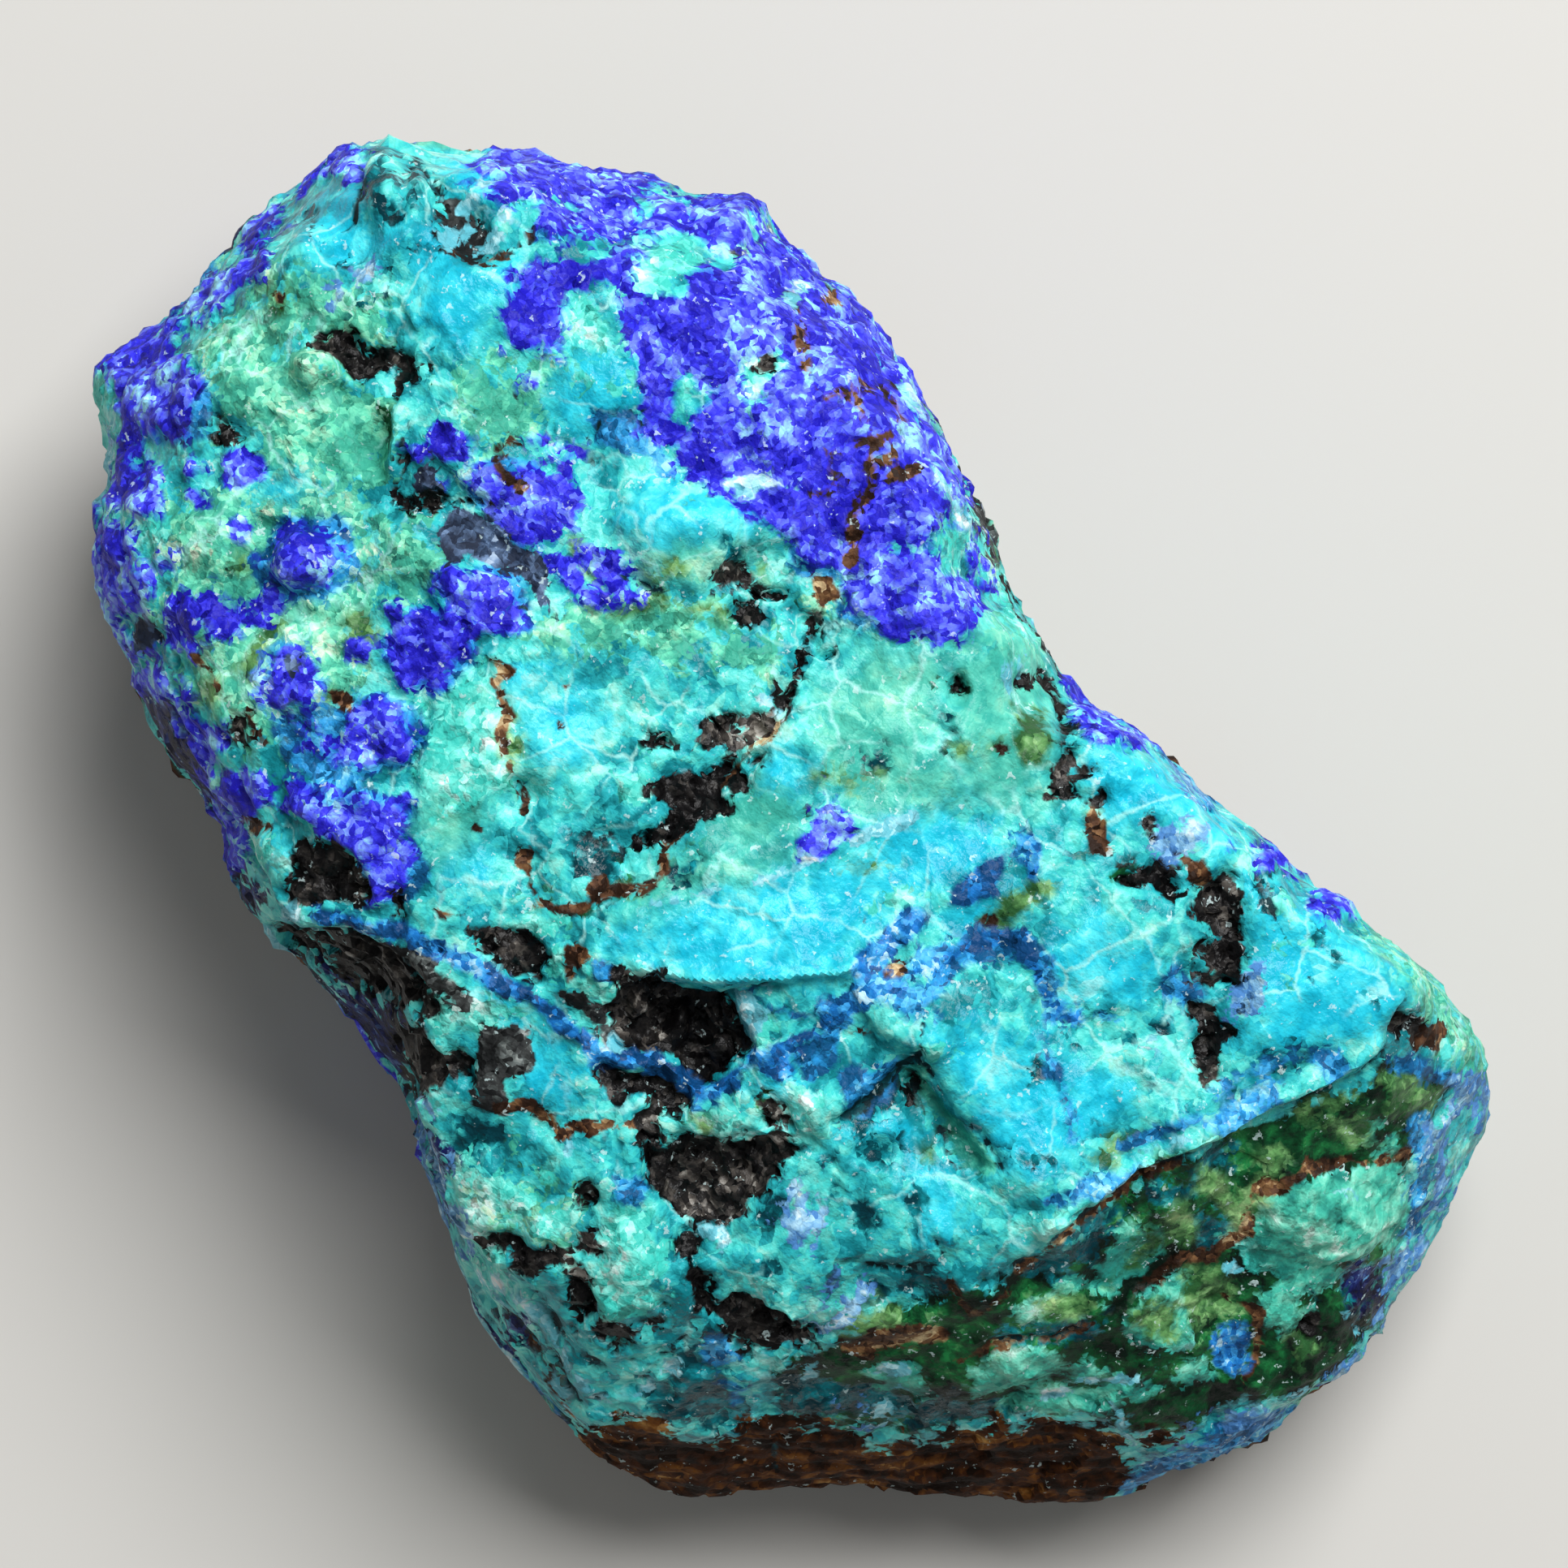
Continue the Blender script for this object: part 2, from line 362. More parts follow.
OCHRE = {
    "patches": {
        "crown_spot": [1013, 360, 1030, 362, 1032, 378, 1014, 378],
        "vein_foot": [1003, 715, 1028, 712, 1036, 738, 1012, 744],
        "seam_nugget": [717, 1100, 722, 1088, 740, 1083, 747, 1095, 738, 1107, 722, 1110],
        "seam_nugget_2": [770, 1098, 790, 1088, 810, 1080, 812, 1090, 795, 1100, 775, 1104],
        "pit_nugget": [690, 1165, 712, 1162, 730, 1178, 715, 1200, 700, 1210, 692, 1190],
        "left_pit": [410, 852, 425, 850, 443, 862, 440, 877, 420, 878, 410, 868],
        "orange": [
            1730, 1277, 1747, 1270, 1767, 1267, 1787, 1257, 1793, 1267, 1787, 1280, 1783, 1293,
            1767, 1297, 1747, 1290],
        "lens": [
            1030, 1650, 1057, 1650, 1083, 1640, 1110, 1633, 1137, 1633, 1160, 1640, 1163, 1647,
            1137, 1657, 1103, 1660, 1083, 1667, 1067, 1673, 1050, 1670, 1037, 1663],
        "wedge": [
            1347, 987, 1357, 1003, 1363, 1033, 1383, 1045, 1370, 1053, 1353, 1053, 1340, 1043,
            1333, 1020],
        "right_gangue": [1450, 1053, 1480, 1060, 1497, 1080, 1480, 1097, 1460, 1090],
        "diagonal_low": [820, 1030, 832, 1008, 852, 1000, 858, 1012, 840, 1040, 822, 1055],
    },
    "balls": [
        [1110, 1192, 17, 14], [1053, 1273, 20, 6], [697, 847, 5, 4], [690, 893, 4, 4],
        [587, 1017, 6, 5], [1060, 1133, 6, 6], [340, 360, 10, 10], [640, 1060, 14, 12],
        [1230, 925, 9, 6], [885, 990, 10, 10], [1224, 1134, 9, 8],
    ],
    "veins": {
        "crown_vein": [
            9, 975, 355, 980, 385, 985, 420, 993, 450, 1003, 480, 1015, 495, 1035, 490, 1050, 478,
            1065, 468, 1090, 480, 1100, 500, 1105, 520],
        "crown_vein_2": [7, 1057, 483, 1057, 517],
        "crown_vein_3": [7, 1000, 610, 1020, 612, 1040, 605],
        "crown_vein_4": [8, 1095, 590, 1130, 580],
        "crown_vein_5": [9, 1052, 632, 1058, 660, 1052, 690],
        "cavity_edge": [5, 552, 302, 573, 322, 597, 326, 613, 314, 640, 312, 652, 292, 650, 270],
        "crown_net": [6, 1003, 548, 1030, 556, 1060, 548, 1095, 538],
        "crown_net_2": [5, 1015, 575, 1040, 582, 1075, 575, 1098, 560],
        "crown_net_3": [5, 1040, 556, 1047, 590, 1056, 632],
        "crown_net_4": [5, 1022, 560, 1025, 600, 1003, 614],
        "crown_net_5": [5, 1070, 560, 1076, 600, 1062, 630],
        "mint_curve": [
            6, 612, 545, 627, 540, 647, 553, 620, 562, 613, 547, 613, 570, 623, 587, 640, 597],
        "crack": [
            6, 593, 790, 607, 783, 603, 800, 610, 817, 620, 827, 607, 837, 610, 850, 617, 867,
            623, 883, 620, 905, 623, 923, 627, 950, 633, 967, 643, 980, 647, 997, 640, 1010, 637,
            1023, 647, 1033, 653, 1047, 650, 1080, 665, 1117],
        "seam": [10, 665, 1117, 690, 1120, 717, 1117, 750, 1103, 777, 1097, 810, 1083],
        "diagonal": [7, 1000, 785, 990, 800, 980, 823, 973, 850, 963, 890],
        "diagonal_2": [
            13, 957, 893, 930, 917, 910, 947, 887, 960, 867, 983, 847, 1013, 820, 1040, 812, 1078],
        "lower_arc": [6, 530, 1110, 547, 1130, 565, 1125, 583, 1115],
        "brown_vein": [
            13, 613, 1367, 643, 1357, 660, 1367, 677, 1380, 693, 1400, 710, 1383, 730, 1387, 750,
            1383, 783, 1383],
        "streak": [6, 240, 807, 277, 857],
        "streak_2": [7, 313, 877, 323, 917],
        "streak_3": [7, 297, 1012, 330, 1020],
        "tan_line": [7, 1163, 1563, 1170, 1583, 1183, 1603, 1197, 1613, 1217, 1607, 1247, 1587],
        "red_seam": [6, 1177, 1673, 1217, 1660, 1267, 1650, 1300, 1650, 1317, 1640, 1343, 1633],
        "green_end": [
            11, 1737, 1420, 1720, 1427, 1700, 1437, 1667, 1433, 1633, 1433, 1613, 1437, 1600,
            1450, 1573, 1463, 1550, 1463, 1543, 1483, 1540, 1510, 1517, 1533, 1500, 1547],
        "green_end_2": [10, 1500, 1547, 1480, 1550, 1453, 1557, 1433, 1567, 1423, 1580, 1395, 1598],
        "green_arc": [9, 1510, 1603, 1535, 1608, 1550, 1617, 1550, 1645, 1547, 1670, 1530, 1697],
        "foot_strip": [12, 650, 1653, 677, 1690, 697, 1730, 710, 1773],
        "crease": [8, 1455, 1425, 1420, 1445, 1380, 1478, 1340, 1500, 1300, 1528, 1250, 1568],
    },
}

IRONSTONE = {
    "patches": {
        "foot_band": [
            715, 1765, 760, 1752, 800, 1745, 850, 1772, 893, 1768, 937, 1750, 983, 1750, 1037,
            1760, 1057, 1770, 1090, 1775, 1133, 1773, 1170, 1760, 1217, 1753, 1283, 1750, 1350,
            1748, 1378, 1757, 1398, 1800, 1375, 1858, 1300, 1900, 800, 1900, 730, 1830],
    },
    "balls": [[1425, 1770, 25, 12]],
    "veins": {},
}

GANGUE = {
    "patches": {
        "plate": [
            587, 1287, 603, 1270, 620, 1263, 640, 1270, 657, 1280, 660, 1297, 650, 1317, 637,
            1337, 620, 1357, 603, 1350, 590, 1330, 577, 1313],
        "along_vein": [
            447, 1157, 480, 1165, 510, 1170, 545, 1190, 575, 1215, 572, 1233, 545, 1225, 510,
            1200, 470, 1182, 447, 1175],
        "above_vein": [
            693, 1222, 715, 1225, 745, 1245, 770, 1275, 775, 1295, 755, 1290, 730, 1268, 705, 1245],
        "below_pit": [800, 1340, 835, 1350, 840, 1372, 815, 1385, 795, 1372],
        "top_cavity": [
            540, 232, 566, 232, 592, 258, 606, 290, 604, 318, 580, 322, 558, 300, 545, 268],
        "crown_top": [893, 300, 925, 300, 950, 285, 968, 298, 940, 310, 920, 322, 895, 312],
        "band": [1200, 690, 1218, 683, 1235, 700, 1222, 702],
        "charcoal": [583, 1345, 610, 1348, 627, 1362, 618, 1380, 595, 1372],
        "by_crust": [860, 1425, 895, 1428, 905, 1450, 880, 1462, 858, 1450],
        "right": [1477, 1100, 1495, 1100, 1500, 1140, 1488, 1150, 1478, 1130],
    },
    "balls": [[640, 1225, 20, 9], [770, 1250, 16, 20], [905, 1280, 8, 14], [1440, 1075, 12, 8]],
    "veins": {
        "right_edge": [12, 1112, 455, 1150, 520, 1185, 575, 1210, 640, 1228, 690],
        "right_edge_low": [8, 1240, 715, 1290, 800, 1318, 842],
        "foot_white": [6, 1513, 1737, 1547, 1740, 1583, 1727, 1610, 1713],
    },
}

SLATE = {
    "patches": {
        "patch": [
            540, 653, 557, 630, 590, 630, 613, 647, 630, 653, 650, 667, 663, 683, 670, 703, 673,
            717, 680, 737, 677, 750, 660, 743, 653, 727, 637, 713, 613, 710, 603, 693, 580, 690,
            557, 693, 543, 673],
        "granular": [505, 580, 530, 562, 552, 575, 548, 600, 530, 614, 508, 608],
    },
    "balls": [[358, 827, 15, 9], [178, 790, 16, 20]],
    "veins": {},
}

AZURE = {
    "patches": {
        "left_mix": [
            347, 880, 400, 868, 437, 870, 430, 935, 450, 975, 400, 980, 365, 950, 347, 915],
        "left_ring": [
            310, 690, 320, 677, 343, 657, 380, 645, 413, 640, 436, 660, 440, 690, 427, 710, 392,
            735, 357, 745, 323, 737, 313, 717],
        "left_ring_low": [
            318, 830, 333, 800, 353, 790, 372, 800, 392, 820, 402, 840, 393, 855, 373, 862, 350,
            876, 330, 872],
        "lower_left": [350, 960, 430, 975, 500, 985, 512, 1030, 530, 1085, 497, 1120, 470, 1115],
        "under_cyan": [
            733, 512, 765, 505, 793, 510, 815, 545, 840, 570, 810, 575, 770, 562, 738, 545],
        "crown_foot": [965, 655, 985, 675, 1000, 700, 1045, 700, 1040, 720, 1000, 712, 975, 690],
        "crown_low_foot": [1030, 743, 1060, 752, 1093, 770, 1060, 772, 1035, 760],
        "vein_mouth": [850, 1330, 885, 1335, 880, 1362, 858, 1362],
        "arm_dark": [
            983, 1285, 1010, 1265, 1050, 1240, 1055, 1260, 1030, 1290, 1000, 1330, 985, 1318],
        "speckled": [
            1097, 1190, 1140, 1165, 1190, 1150, 1250, 1150, 1245, 1175, 1200, 1190, 1170, 1205,
            1120, 1215],
        "bright": [1110, 1220, 1130, 1205, 1160, 1212, 1158, 1240, 1130, 1252, 1112, 1245],
        "right_wedge": [
            1433, 1207, 1450, 1200, 1470, 1200, 1490, 1215, 1493, 1230, 1480, 1240, 1460, 1233,
            1440, 1225],
        "band_end": [
            1713, 1307, 1733, 1297, 1760, 1307, 1780, 1320, 1790, 1330, 1770, 1330, 1747, 1320],
        "foot_dab": [868, 1660, 890, 1655, 902, 1675, 885, 1692, 868, 1682],
        "foot_dab_2": [893, 1705, 915, 1697, 925, 1720, 905, 1735],
        "above_dash": [752, 1455, 780, 1450, 800, 1465, 785, 1483, 757, 1480],
        "rim_bottom": [
            1367, 1830, 1420, 1800, 1500, 1760, 1560, 1745, 1605, 1742, 1600, 1765, 1540, 1790,
            1460, 1820, 1390, 1858],
        "top_left_wall": [268, 345, 300, 325, 310, 338, 280, 365, 255, 385],
        "triangle_foot": [985, 1040, 1008, 1030, 1030, 1045, 1008, 1062, 988, 1060],
        "notch_foot": [1040, 1330, 1075, 1312, 1105, 1305, 1100, 1340, 1060, 1368, 1040, 1360],
    },
    "balls": [
        [378, 690, 60, 50], [462, 905, 60, 52], [525, 800, 60, 48], [620, 600, 50, 34],
        [597, 740, 58, 46], [205, 500, 60, 50], [680, 285, 22, 12], [1258, 1043, 12, 16],
        [1640, 1310, 20, 12], [745, 1195, 8, 6], [975, 470, 8, 14], [1090, 700, 12, 8],
        [1015, 535, 10, 24], [275, 590, 14, 8],
    ],
    "veins": {
        "deep_line": [8, 1495, 1345, 1530, 1325, 1580, 1312, 1632, 1300],
        "deep_line_2": [6, 1510, 1362, 1560, 1345, 1610, 1325],
        "slab_arc": [14, 1237, 1155, 1257, 1150, 1270, 1163, 1283, 1183, 1293, 1210, 1300, 1245],
        "slab_end": [10, 1297, 1250, 1367, 1256],
        "right_edge": [20, 1750, 1383, 1752, 1440, 1745, 1520],
        "below_slab": [12, 1060, 1235, 1110, 1235, 1160, 1250],
        "slab_low": [10, 920, 1225, 985, 1255, 1040, 1235, 1100, 1195],
        "banding": [9, 1383, 1415, 1450, 1385, 1500, 1378, 1550, 1352],
        "banding_2": [7, 1290, 1480, 1340, 1470, 1400, 1440],
        "right_shoulder": [9, 1437, 925, 1470, 955, 1490, 985],
        "v_slope": [8, 1290, 1290, 1310, 1340, 1320, 1400],
    },
}

COBALT = {
    "patches": {
        "arm_violet": [
            1050, 1190, 1077, 1163, 1097, 1143, 1117, 1123, 1133, 1117, 1143, 1133, 1127, 1150,
            1110, 1170, 1083, 1190, 1063, 1203],
        "slab_top": [
            1167, 1113, 1177, 1090, 1193, 1077, 1217, 1060, 1237, 1047, 1247, 1050, 1237, 1067,
            1233, 1090, 1223, 1103, 1200, 1117, 1177, 1117],
        "blue_oval": [
            1493, 1650, 1505, 1633, 1525, 1630, 1538, 1650, 1538, 1680, 1520, 1693, 1500, 1680],
    },
    "balls": [],
    "veins": {
        "arc": [12, 1243, 1027, 1267, 1033, 1277, 1050, 1273, 1077],
        "arm_right": [
            15, 1070, 1232, 1100, 1215, 1133, 1198, 1165, 1180, 1200, 1162, 1235, 1152, 1262, 1148],
        "arm_low": [9, 1255, 1160, 1275, 1190, 1290, 1230, 1330, 1262],
        "main": [
            18, 390, 1132, 417, 1137, 450, 1147, 483, 1147, 510, 1153, 537, 1163, 560, 1177, 583,
            1193, 610, 1207, 637, 1220, 663, 1237, 683, 1250, 703, 1267, 730, 1293, 750, 1303,
            783, 1307, 810, 1310, 833, 1323, 853, 1340, 867, 1350],
        "second_arm": [
            20, 867, 1350, 883, 1337, 903, 1323, 927, 1307, 950, 1303, 970, 1287, 990, 1277, 1010,
            1267, 1030, 1247, 1050, 1237, 1070, 1230],
        "strand": [10, 903, 1320, 950, 1320, 970, 1310],
    },
}

NAVY = {
    "patches": {
        "left_wall": [
            165, 830, 195, 842, 228, 870, 250, 920, 275, 960, 296, 1010, 302, 1075, 330, 1120,
            300, 1110, 262, 1000, 222, 955, 190, 915, 168, 850],
        "right_strip": [1092, 448, 1112, 455, 1132, 487, 1128, 505, 1110, 490],
        "low_wall": [505, 1345, 540, 1400, 552, 1470, 560, 1530, 545, 1510, 520, 1433],
        "foot_rim": [
            1367, 1862, 1400, 1825, 1450, 1805, 1540, 1770, 1600, 1752, 1610, 1770, 1540, 1800,
            1450, 1840],
        "recess_low": [
            335, 1180, 380, 1190, 440, 1225, 500, 1258, 515, 1290, 490, 1335, 440, 1320, 390,
            1260, 340, 1210],
    },
    "balls": [[633, 1638, 16, 20], [1690, 1590, 22, 28]],
    "veins": {
        "right_wall": [10, 1118, 470, 1150, 540, 1190, 600, 1215, 655],
    },
}

LAVENDER = {
    "patches": {
        "right_top": [
            1413, 1030, 1423, 1010, 1450, 1010, 1470, 1023, 1473, 1050, 1450, 1060, 1423, 1060,
            1410, 1055],
        "right_low": [
            1503, 1233, 1513, 1220, 1527, 1207, 1547, 1197, 1563, 1200, 1557, 1213, 1550, 1233,
            1543, 1253, 1527, 1260, 1507, 1247],
        "globe": [1000, 1600, 1030, 1578, 1062, 1582, 1065, 1615, 1035, 1640, 1005, 1635],
        "end": [1763, 1390, 1790, 1387, 1792, 1440, 1780, 1500, 1765, 1490],
        "end_low": [1712, 1550, 1735, 1535, 1757, 1540, 1745, 1580, 1722, 1605, 1710, 1590],
        "end_top": [1790, 1330, 1820, 1320, 1840, 1340, 1830, 1380, 1800, 1380],
        "foot": [1500, 1750, 1560, 1735, 1575, 1755, 1520, 1775],
        "tenorite_side": [972, 1460, 990, 1460, 1000, 1500, 992, 1537, 970, 1525],
    },
    "balls": [[1063, 1755, 14, 12], [1005, 1512, 8, 24], [1445, 1775, 18, 8], [1480, 1785, 14, 12]],
    "veins": {
        "streak": [11, 420, 360, 435, 343, 458, 325],
        "low_wall": [16, 520, 1345, 518, 1383, 524, 1417, 537, 1450, 552, 1495, 563, 1537],
        "side": [9, 1447, 955, 1475, 975],
        "rim_low": [9, 1640, 1700, 1690, 1660, 1720, 1620],
    },
}

WHITE = {
    "patches": {
        "vein_start": [345, 1123, 360, 1122, 377, 1132, 387, 1140, 373, 1142, 353, 1132],
        "slab_foot": [897, 1232, 925, 1228, 945, 1240, 940, 1275, 915, 1285, 900, 1265],
        "rim": [1017, 353, 1033, 360, 1040, 368, 1022, 362],
        "right_rim": [1107, 483, 1118, 500, 1127, 517, 1115, 512],
        "right_rim_low": [1147, 570, 1160, 585, 1182, 625, 1186, 645, 1165, 622, 1150, 592],
    },
    "balls": [
        [590, 262, 9, 6], [575, 275, 7, 6], [602, 300, 9, 6], [565, 245, 6, 6], [622, 270, 6, 6],
        [585, 300, 6, 6], [585, 252, 8, 7], [556, 285, 7, 9], [612, 290, 8, 7], [600, 225, 6, 5],
        [871, 1516, 8, 6], [891, 1527, 9, 8], [955, 1221, 9, 8], [957, 883, 5, 5],
        [940, 867, 4, 4], [1420, 1288, 6, 6], [1243, 828, 8, 14], [558, 1356, 8, 5],
        [700, 1417, 9, 8], [977, 372, 5, 9], [915, 607, 8, 6], [985, 352, 7, 6],
        [1455, 1400, 9, 4], [575, 245, 10, 10], [1085, 1745, 9, 6], [1000, 1693, 9, 6],
        [1098, 1690, 10, 5], [1113, 1713, 6, 4], [1518, 1562, 5, 7], [1658, 1470, 9, 6],
    ],
    "veins": {
        "left_rim": [5, 140, 510, 147, 550, 133, 577, 123, 617],
        "slab": [2, 917, 1087, 963, 1077, 1027, 1053, 1087, 1023, 1133, 1007],
        "slab_2": [2, 807, 1113, 850, 1103, 883, 1100],
        "foot": [2, 1513, 1737, 1547, 1740, 1583, 1727, 1610, 1713],
        "green": [2, 1647, 1617, 1677, 1643],
        "foot_2": [2, 1343, 1703, 1400, 1697],
        "foot_3": [2, 1370, 1725, 1390, 1760, 1402, 1795],
        "foot_4": [2, 1290, 1730, 1330, 1710, 1350, 1705],
        "crown": [2, 893, 600, 940, 590, 985, 607],
        "v_slot": [3, 1150, 1340, 1175, 1365, 1200, 1395],
        "crust_side": [
            2, 583, 1570, 637, 1603, 677, 1643, 703, 1683, 727, 1720, 750, 1730, 783, 1723, 803,
            1703, 833, 1690],
        "crust_side_2": [2, 603, 1590, 650, 1643, 683, 1700, 710, 1750],
        "pit": [2, 800, 1215, 830, 1210],
        "pit_2": [2, 745, 1262, 765, 1285],
    },
}

MINT = {
    "patches": {
        "azurite_window": [
            757, 300, 800, 300, 847, 290, 860, 303, 880, 310, 873, 327, 847, 337, 837, 363, 813,
            370, 793, 367, 780, 350, 777, 330, 793, 317],
        "crown_window": [
            840, 470, 847, 460, 863, 480, 887, 480, 880, 490, 857, 503, 850, 520, 837, 517, 830,
            497],
        "round_pit": [
            923, 450, 933, 440, 960, 433, 973, 443, 973, 463, 947, 473, 940, 493, 923, 503, 910,
            490, 907, 470],
        "right_window": [
            1140, 660, 1163, 650, 1193, 647, 1197, 663, 1190, 683, 1180, 707, 1163, 707, 1153,
            693, 1147, 673],
        "left_window": [
            135, 627, 153, 623, 163, 637, 190, 633, 203, 640, 207, 657, 197, 680, 180, 683, 173,
            663, 160, 647, 140, 640],
        "by_crown": [703, 362, 745, 360, 757, 400, 770, 430, 740, 432, 700, 428, 695, 395],
        "bulge_foot": [923, 680, 950, 672, 977, 690, 972, 722, 945, 728, 928, 705],
        "under_mint": [550, 577, 580, 570, 613, 585, 610, 612, 575, 615, 552, 600],
        "left_low": [290, 1027, 315, 1025, 333, 1045, 325, 1070, 300, 1062],
        "block_left": [
            510, 845, 560, 815, 600, 800, 590, 870, 620, 900, 640, 960, 600, 985, 560, 1000, 515,
            980, 500, 930],
        "crust_pale": [
            617, 1137, 627, 1130, 657, 1127, 687, 1123, 697, 1140, 693, 1157, 710, 1167, 690,
            1200, 680, 1213, 670, 1197, 677, 1180, 667, 1157, 650, 1143, 627, 1140],
        "edge": [
            487, 1203, 497, 1197, 517, 1213, 537, 1227, 543, 1240, 560, 1250, 567, 1270, 603,
            1277, 583, 1283, 547, 1280, 547, 1293, 533, 1297, 527, 1267, 517, 1243, 497, 1227],
        "pale_piece": [
            563, 1263, 570, 1247, 597, 1230, 613, 1240, 637, 1243, 623, 1257, 603, 1267, 570, 1270],
        "fibrous": [707, 1200, 735, 1190, 765, 1195, 762, 1222, 742, 1238, 722, 1228, 705, 1215],
        "below_pit": [850, 1370, 880, 1358, 920, 1362, 935, 1375, 925, 1392, 895, 1405, 862, 1402],
        "below_pit_2": [977, 1352, 1005, 1348, 1022, 1365, 1015, 1392, 990, 1390],
        "crust": [
            740, 1500, 757, 1483, 783, 1477, 803, 1490, 817, 1510, 823, 1537, 810, 1563, 807,
            1583, 817, 1603, 810, 1623, 790, 1630, 770, 1633, 750, 1633, 737, 1617, 727, 1597,
            723, 1570, 743, 1550, 737, 1523],
        "end_face": [
            1553, 1480, 1583, 1473, 1600, 1457, 1633, 1447, 1667, 1437, 1700, 1437, 1737, 1430,
            1740, 1460, 1730, 1493, 1723, 1517, 1710, 1537, 1687, 1547, 1650, 1547, 1647, 1563,
            1637, 1590, 1607, 1597, 1593, 1580, 1577, 1560, 1553, 1547, 1527, 1547, 1520, 1537,
            1547, 1510],
        "end_mint": [
            1408, 1600, 1440, 1578, 1468, 1585, 1455, 1620, 1460, 1650, 1430, 1665, 1405, 1650],
        "slab_corner": [1075, 1108, 1110, 1100, 1150, 1108, 1120, 1125, 1085, 1122],
        "notch_light": [905, 1240, 945, 1240, 985, 1262, 985, 1285, 940, 1300, 915, 1290],
        "block_right_low": [770, 960, 800, 950, 800, 985, 780, 1000],
        "left_knob": [107, 467, 117, 453, 137, 452, 140, 470, 138, 500, 120, 503],
    },
    "balls": [
        [720, 310, 12, 9], [588, 560, 14, 10], [862, 600, 12, 6], [1150, 1300, 12, 10],
        [640, 1480, 26, 14], [600, 1540, 18, 12], [668, 1500, 22, 12], [620, 1455, 30, 10],
        [1213, 705, 12, 12], [865, 1290, 5, 12], [760, 470, 16, 10], [1590, 1150, 10, 30],
    ],
    "veins": {
        "crown_vein": [8, 897, 387, 880, 420, 863, 450],
        "crown_vein_2": [6, 860, 380, 880, 372, 900, 385],
        "rim": [8, 1200, 690, 1235, 735, 1258, 775],
        "wall": [9, 560, 1440, 590, 1520, 612, 1590],
        "crease_lip": [9, 1310, 1503, 1350, 1480, 1400, 1448, 1430, 1420],
    },
}

MALACHITE = {
    "patches": {
        "upper_left": [
            250, 440, 300, 385, 350, 330, 420, 345, 470, 385, 480, 430, 380, 412, 370, 430, 425,
            450, 480, 490, 490, 560, 440, 600, 380, 610, 330, 590, 310, 540, 260, 500, 245, 470],
        "left_patch": [
            207, 650, 220, 623, 253, 613, 277, 620, 293, 637, 303, 660, 300, 683, 287, 703, 267,
            720, 247, 737, 230, 727, 220, 710, 207, 683],
        "left_side": [
            185, 600, 300, 590, 420, 600, 470, 640, 460, 760, 430, 860, 330, 900, 250, 900, 205,
            820, 192, 700],
        "middle": [
            560, 470, 580, 443, 607, 443, 630, 450, 653, 460, 670, 470, 677, 493, 660, 510, 650,
            533, 623, 540, 607, 543, 580, 530, 563, 503],
        "lobe_low": [
            460, 650, 500, 640, 530, 660, 545, 690, 560, 715, 530, 735, 500, 745, 470, 730, 455,
            690],
        "block_strip": [
            407, 783, 420, 757, 433, 743, 447, 757, 463, 763, 470, 783, 470, 810, 480, 827, 473,
            847, 440, 847, 420, 833, 417, 810, 403, 797],
        "lobe_strip": [
            203, 797, 235, 800, 262, 830, 285, 870, 300, 905, 270, 905, 245, 870, 225, 835],
        "bulge_foot": [
            747, 730, 790, 725, 830, 735, 880, 755, 890, 765, 850, 762, 790, 755, 750, 750],
        "crown_foot": [570, 560, 612, 545, 640, 570, 640, 600, 600, 605, 575, 590],
        "crust_band": [620, 1135, 690, 1125, 700, 1145, 660, 1140],
        "rim_right": [
            1655, 1130, 1700, 1145, 1767, 1205, 1843, 1300, 1838, 1330, 1795, 1320, 1765, 1262,
            1720, 1210, 1680, 1160],
        "block_top": [
            650, 770, 720, 755, 800, 765, 900, 775, 960, 790, 950, 830, 850, 810, 740, 800, 665,
            800],
        "lower": [565, 1460, 640, 1445, 700, 1470, 690, 1540, 630, 1510, 580, 1500],
        "top_right": [620, 460, 660, 430, 690, 440, 680, 480, 690, 520, 660, 540, 640, 520],
        "by_rim": [1195, 830, 1230, 770, 1262, 775, 1290, 815, 1250, 850],
        "end_lens": [
            1183, 1727, 1197, 1707, 1217, 1693, 1243, 1683, 1277, 1680, 1283, 1690, 1267, 1703,
            1263, 1717, 1233, 1733, 1210, 1733],
        "end_green": [
            1560, 1605, 1590, 1603, 1625, 1625, 1630, 1680, 1600, 1715, 1560, 1705, 1550, 1660],
        "end_left": [1203, 1600, 1235, 1592, 1270, 1600, 1262, 1630, 1225, 1637, 1205, 1625],
    },
    "balls": [[383, 453, 24, 26], [330, 350, 24, 18], [1040, 735, 18, 16], [620, 400, 10, 20]],
    "veins": {
        "diagonal_side": [8, 835, 1050, 808, 1090, 783, 1137],
        "slab_edge": [6, 970, 1180, 985, 1150],
    },
}

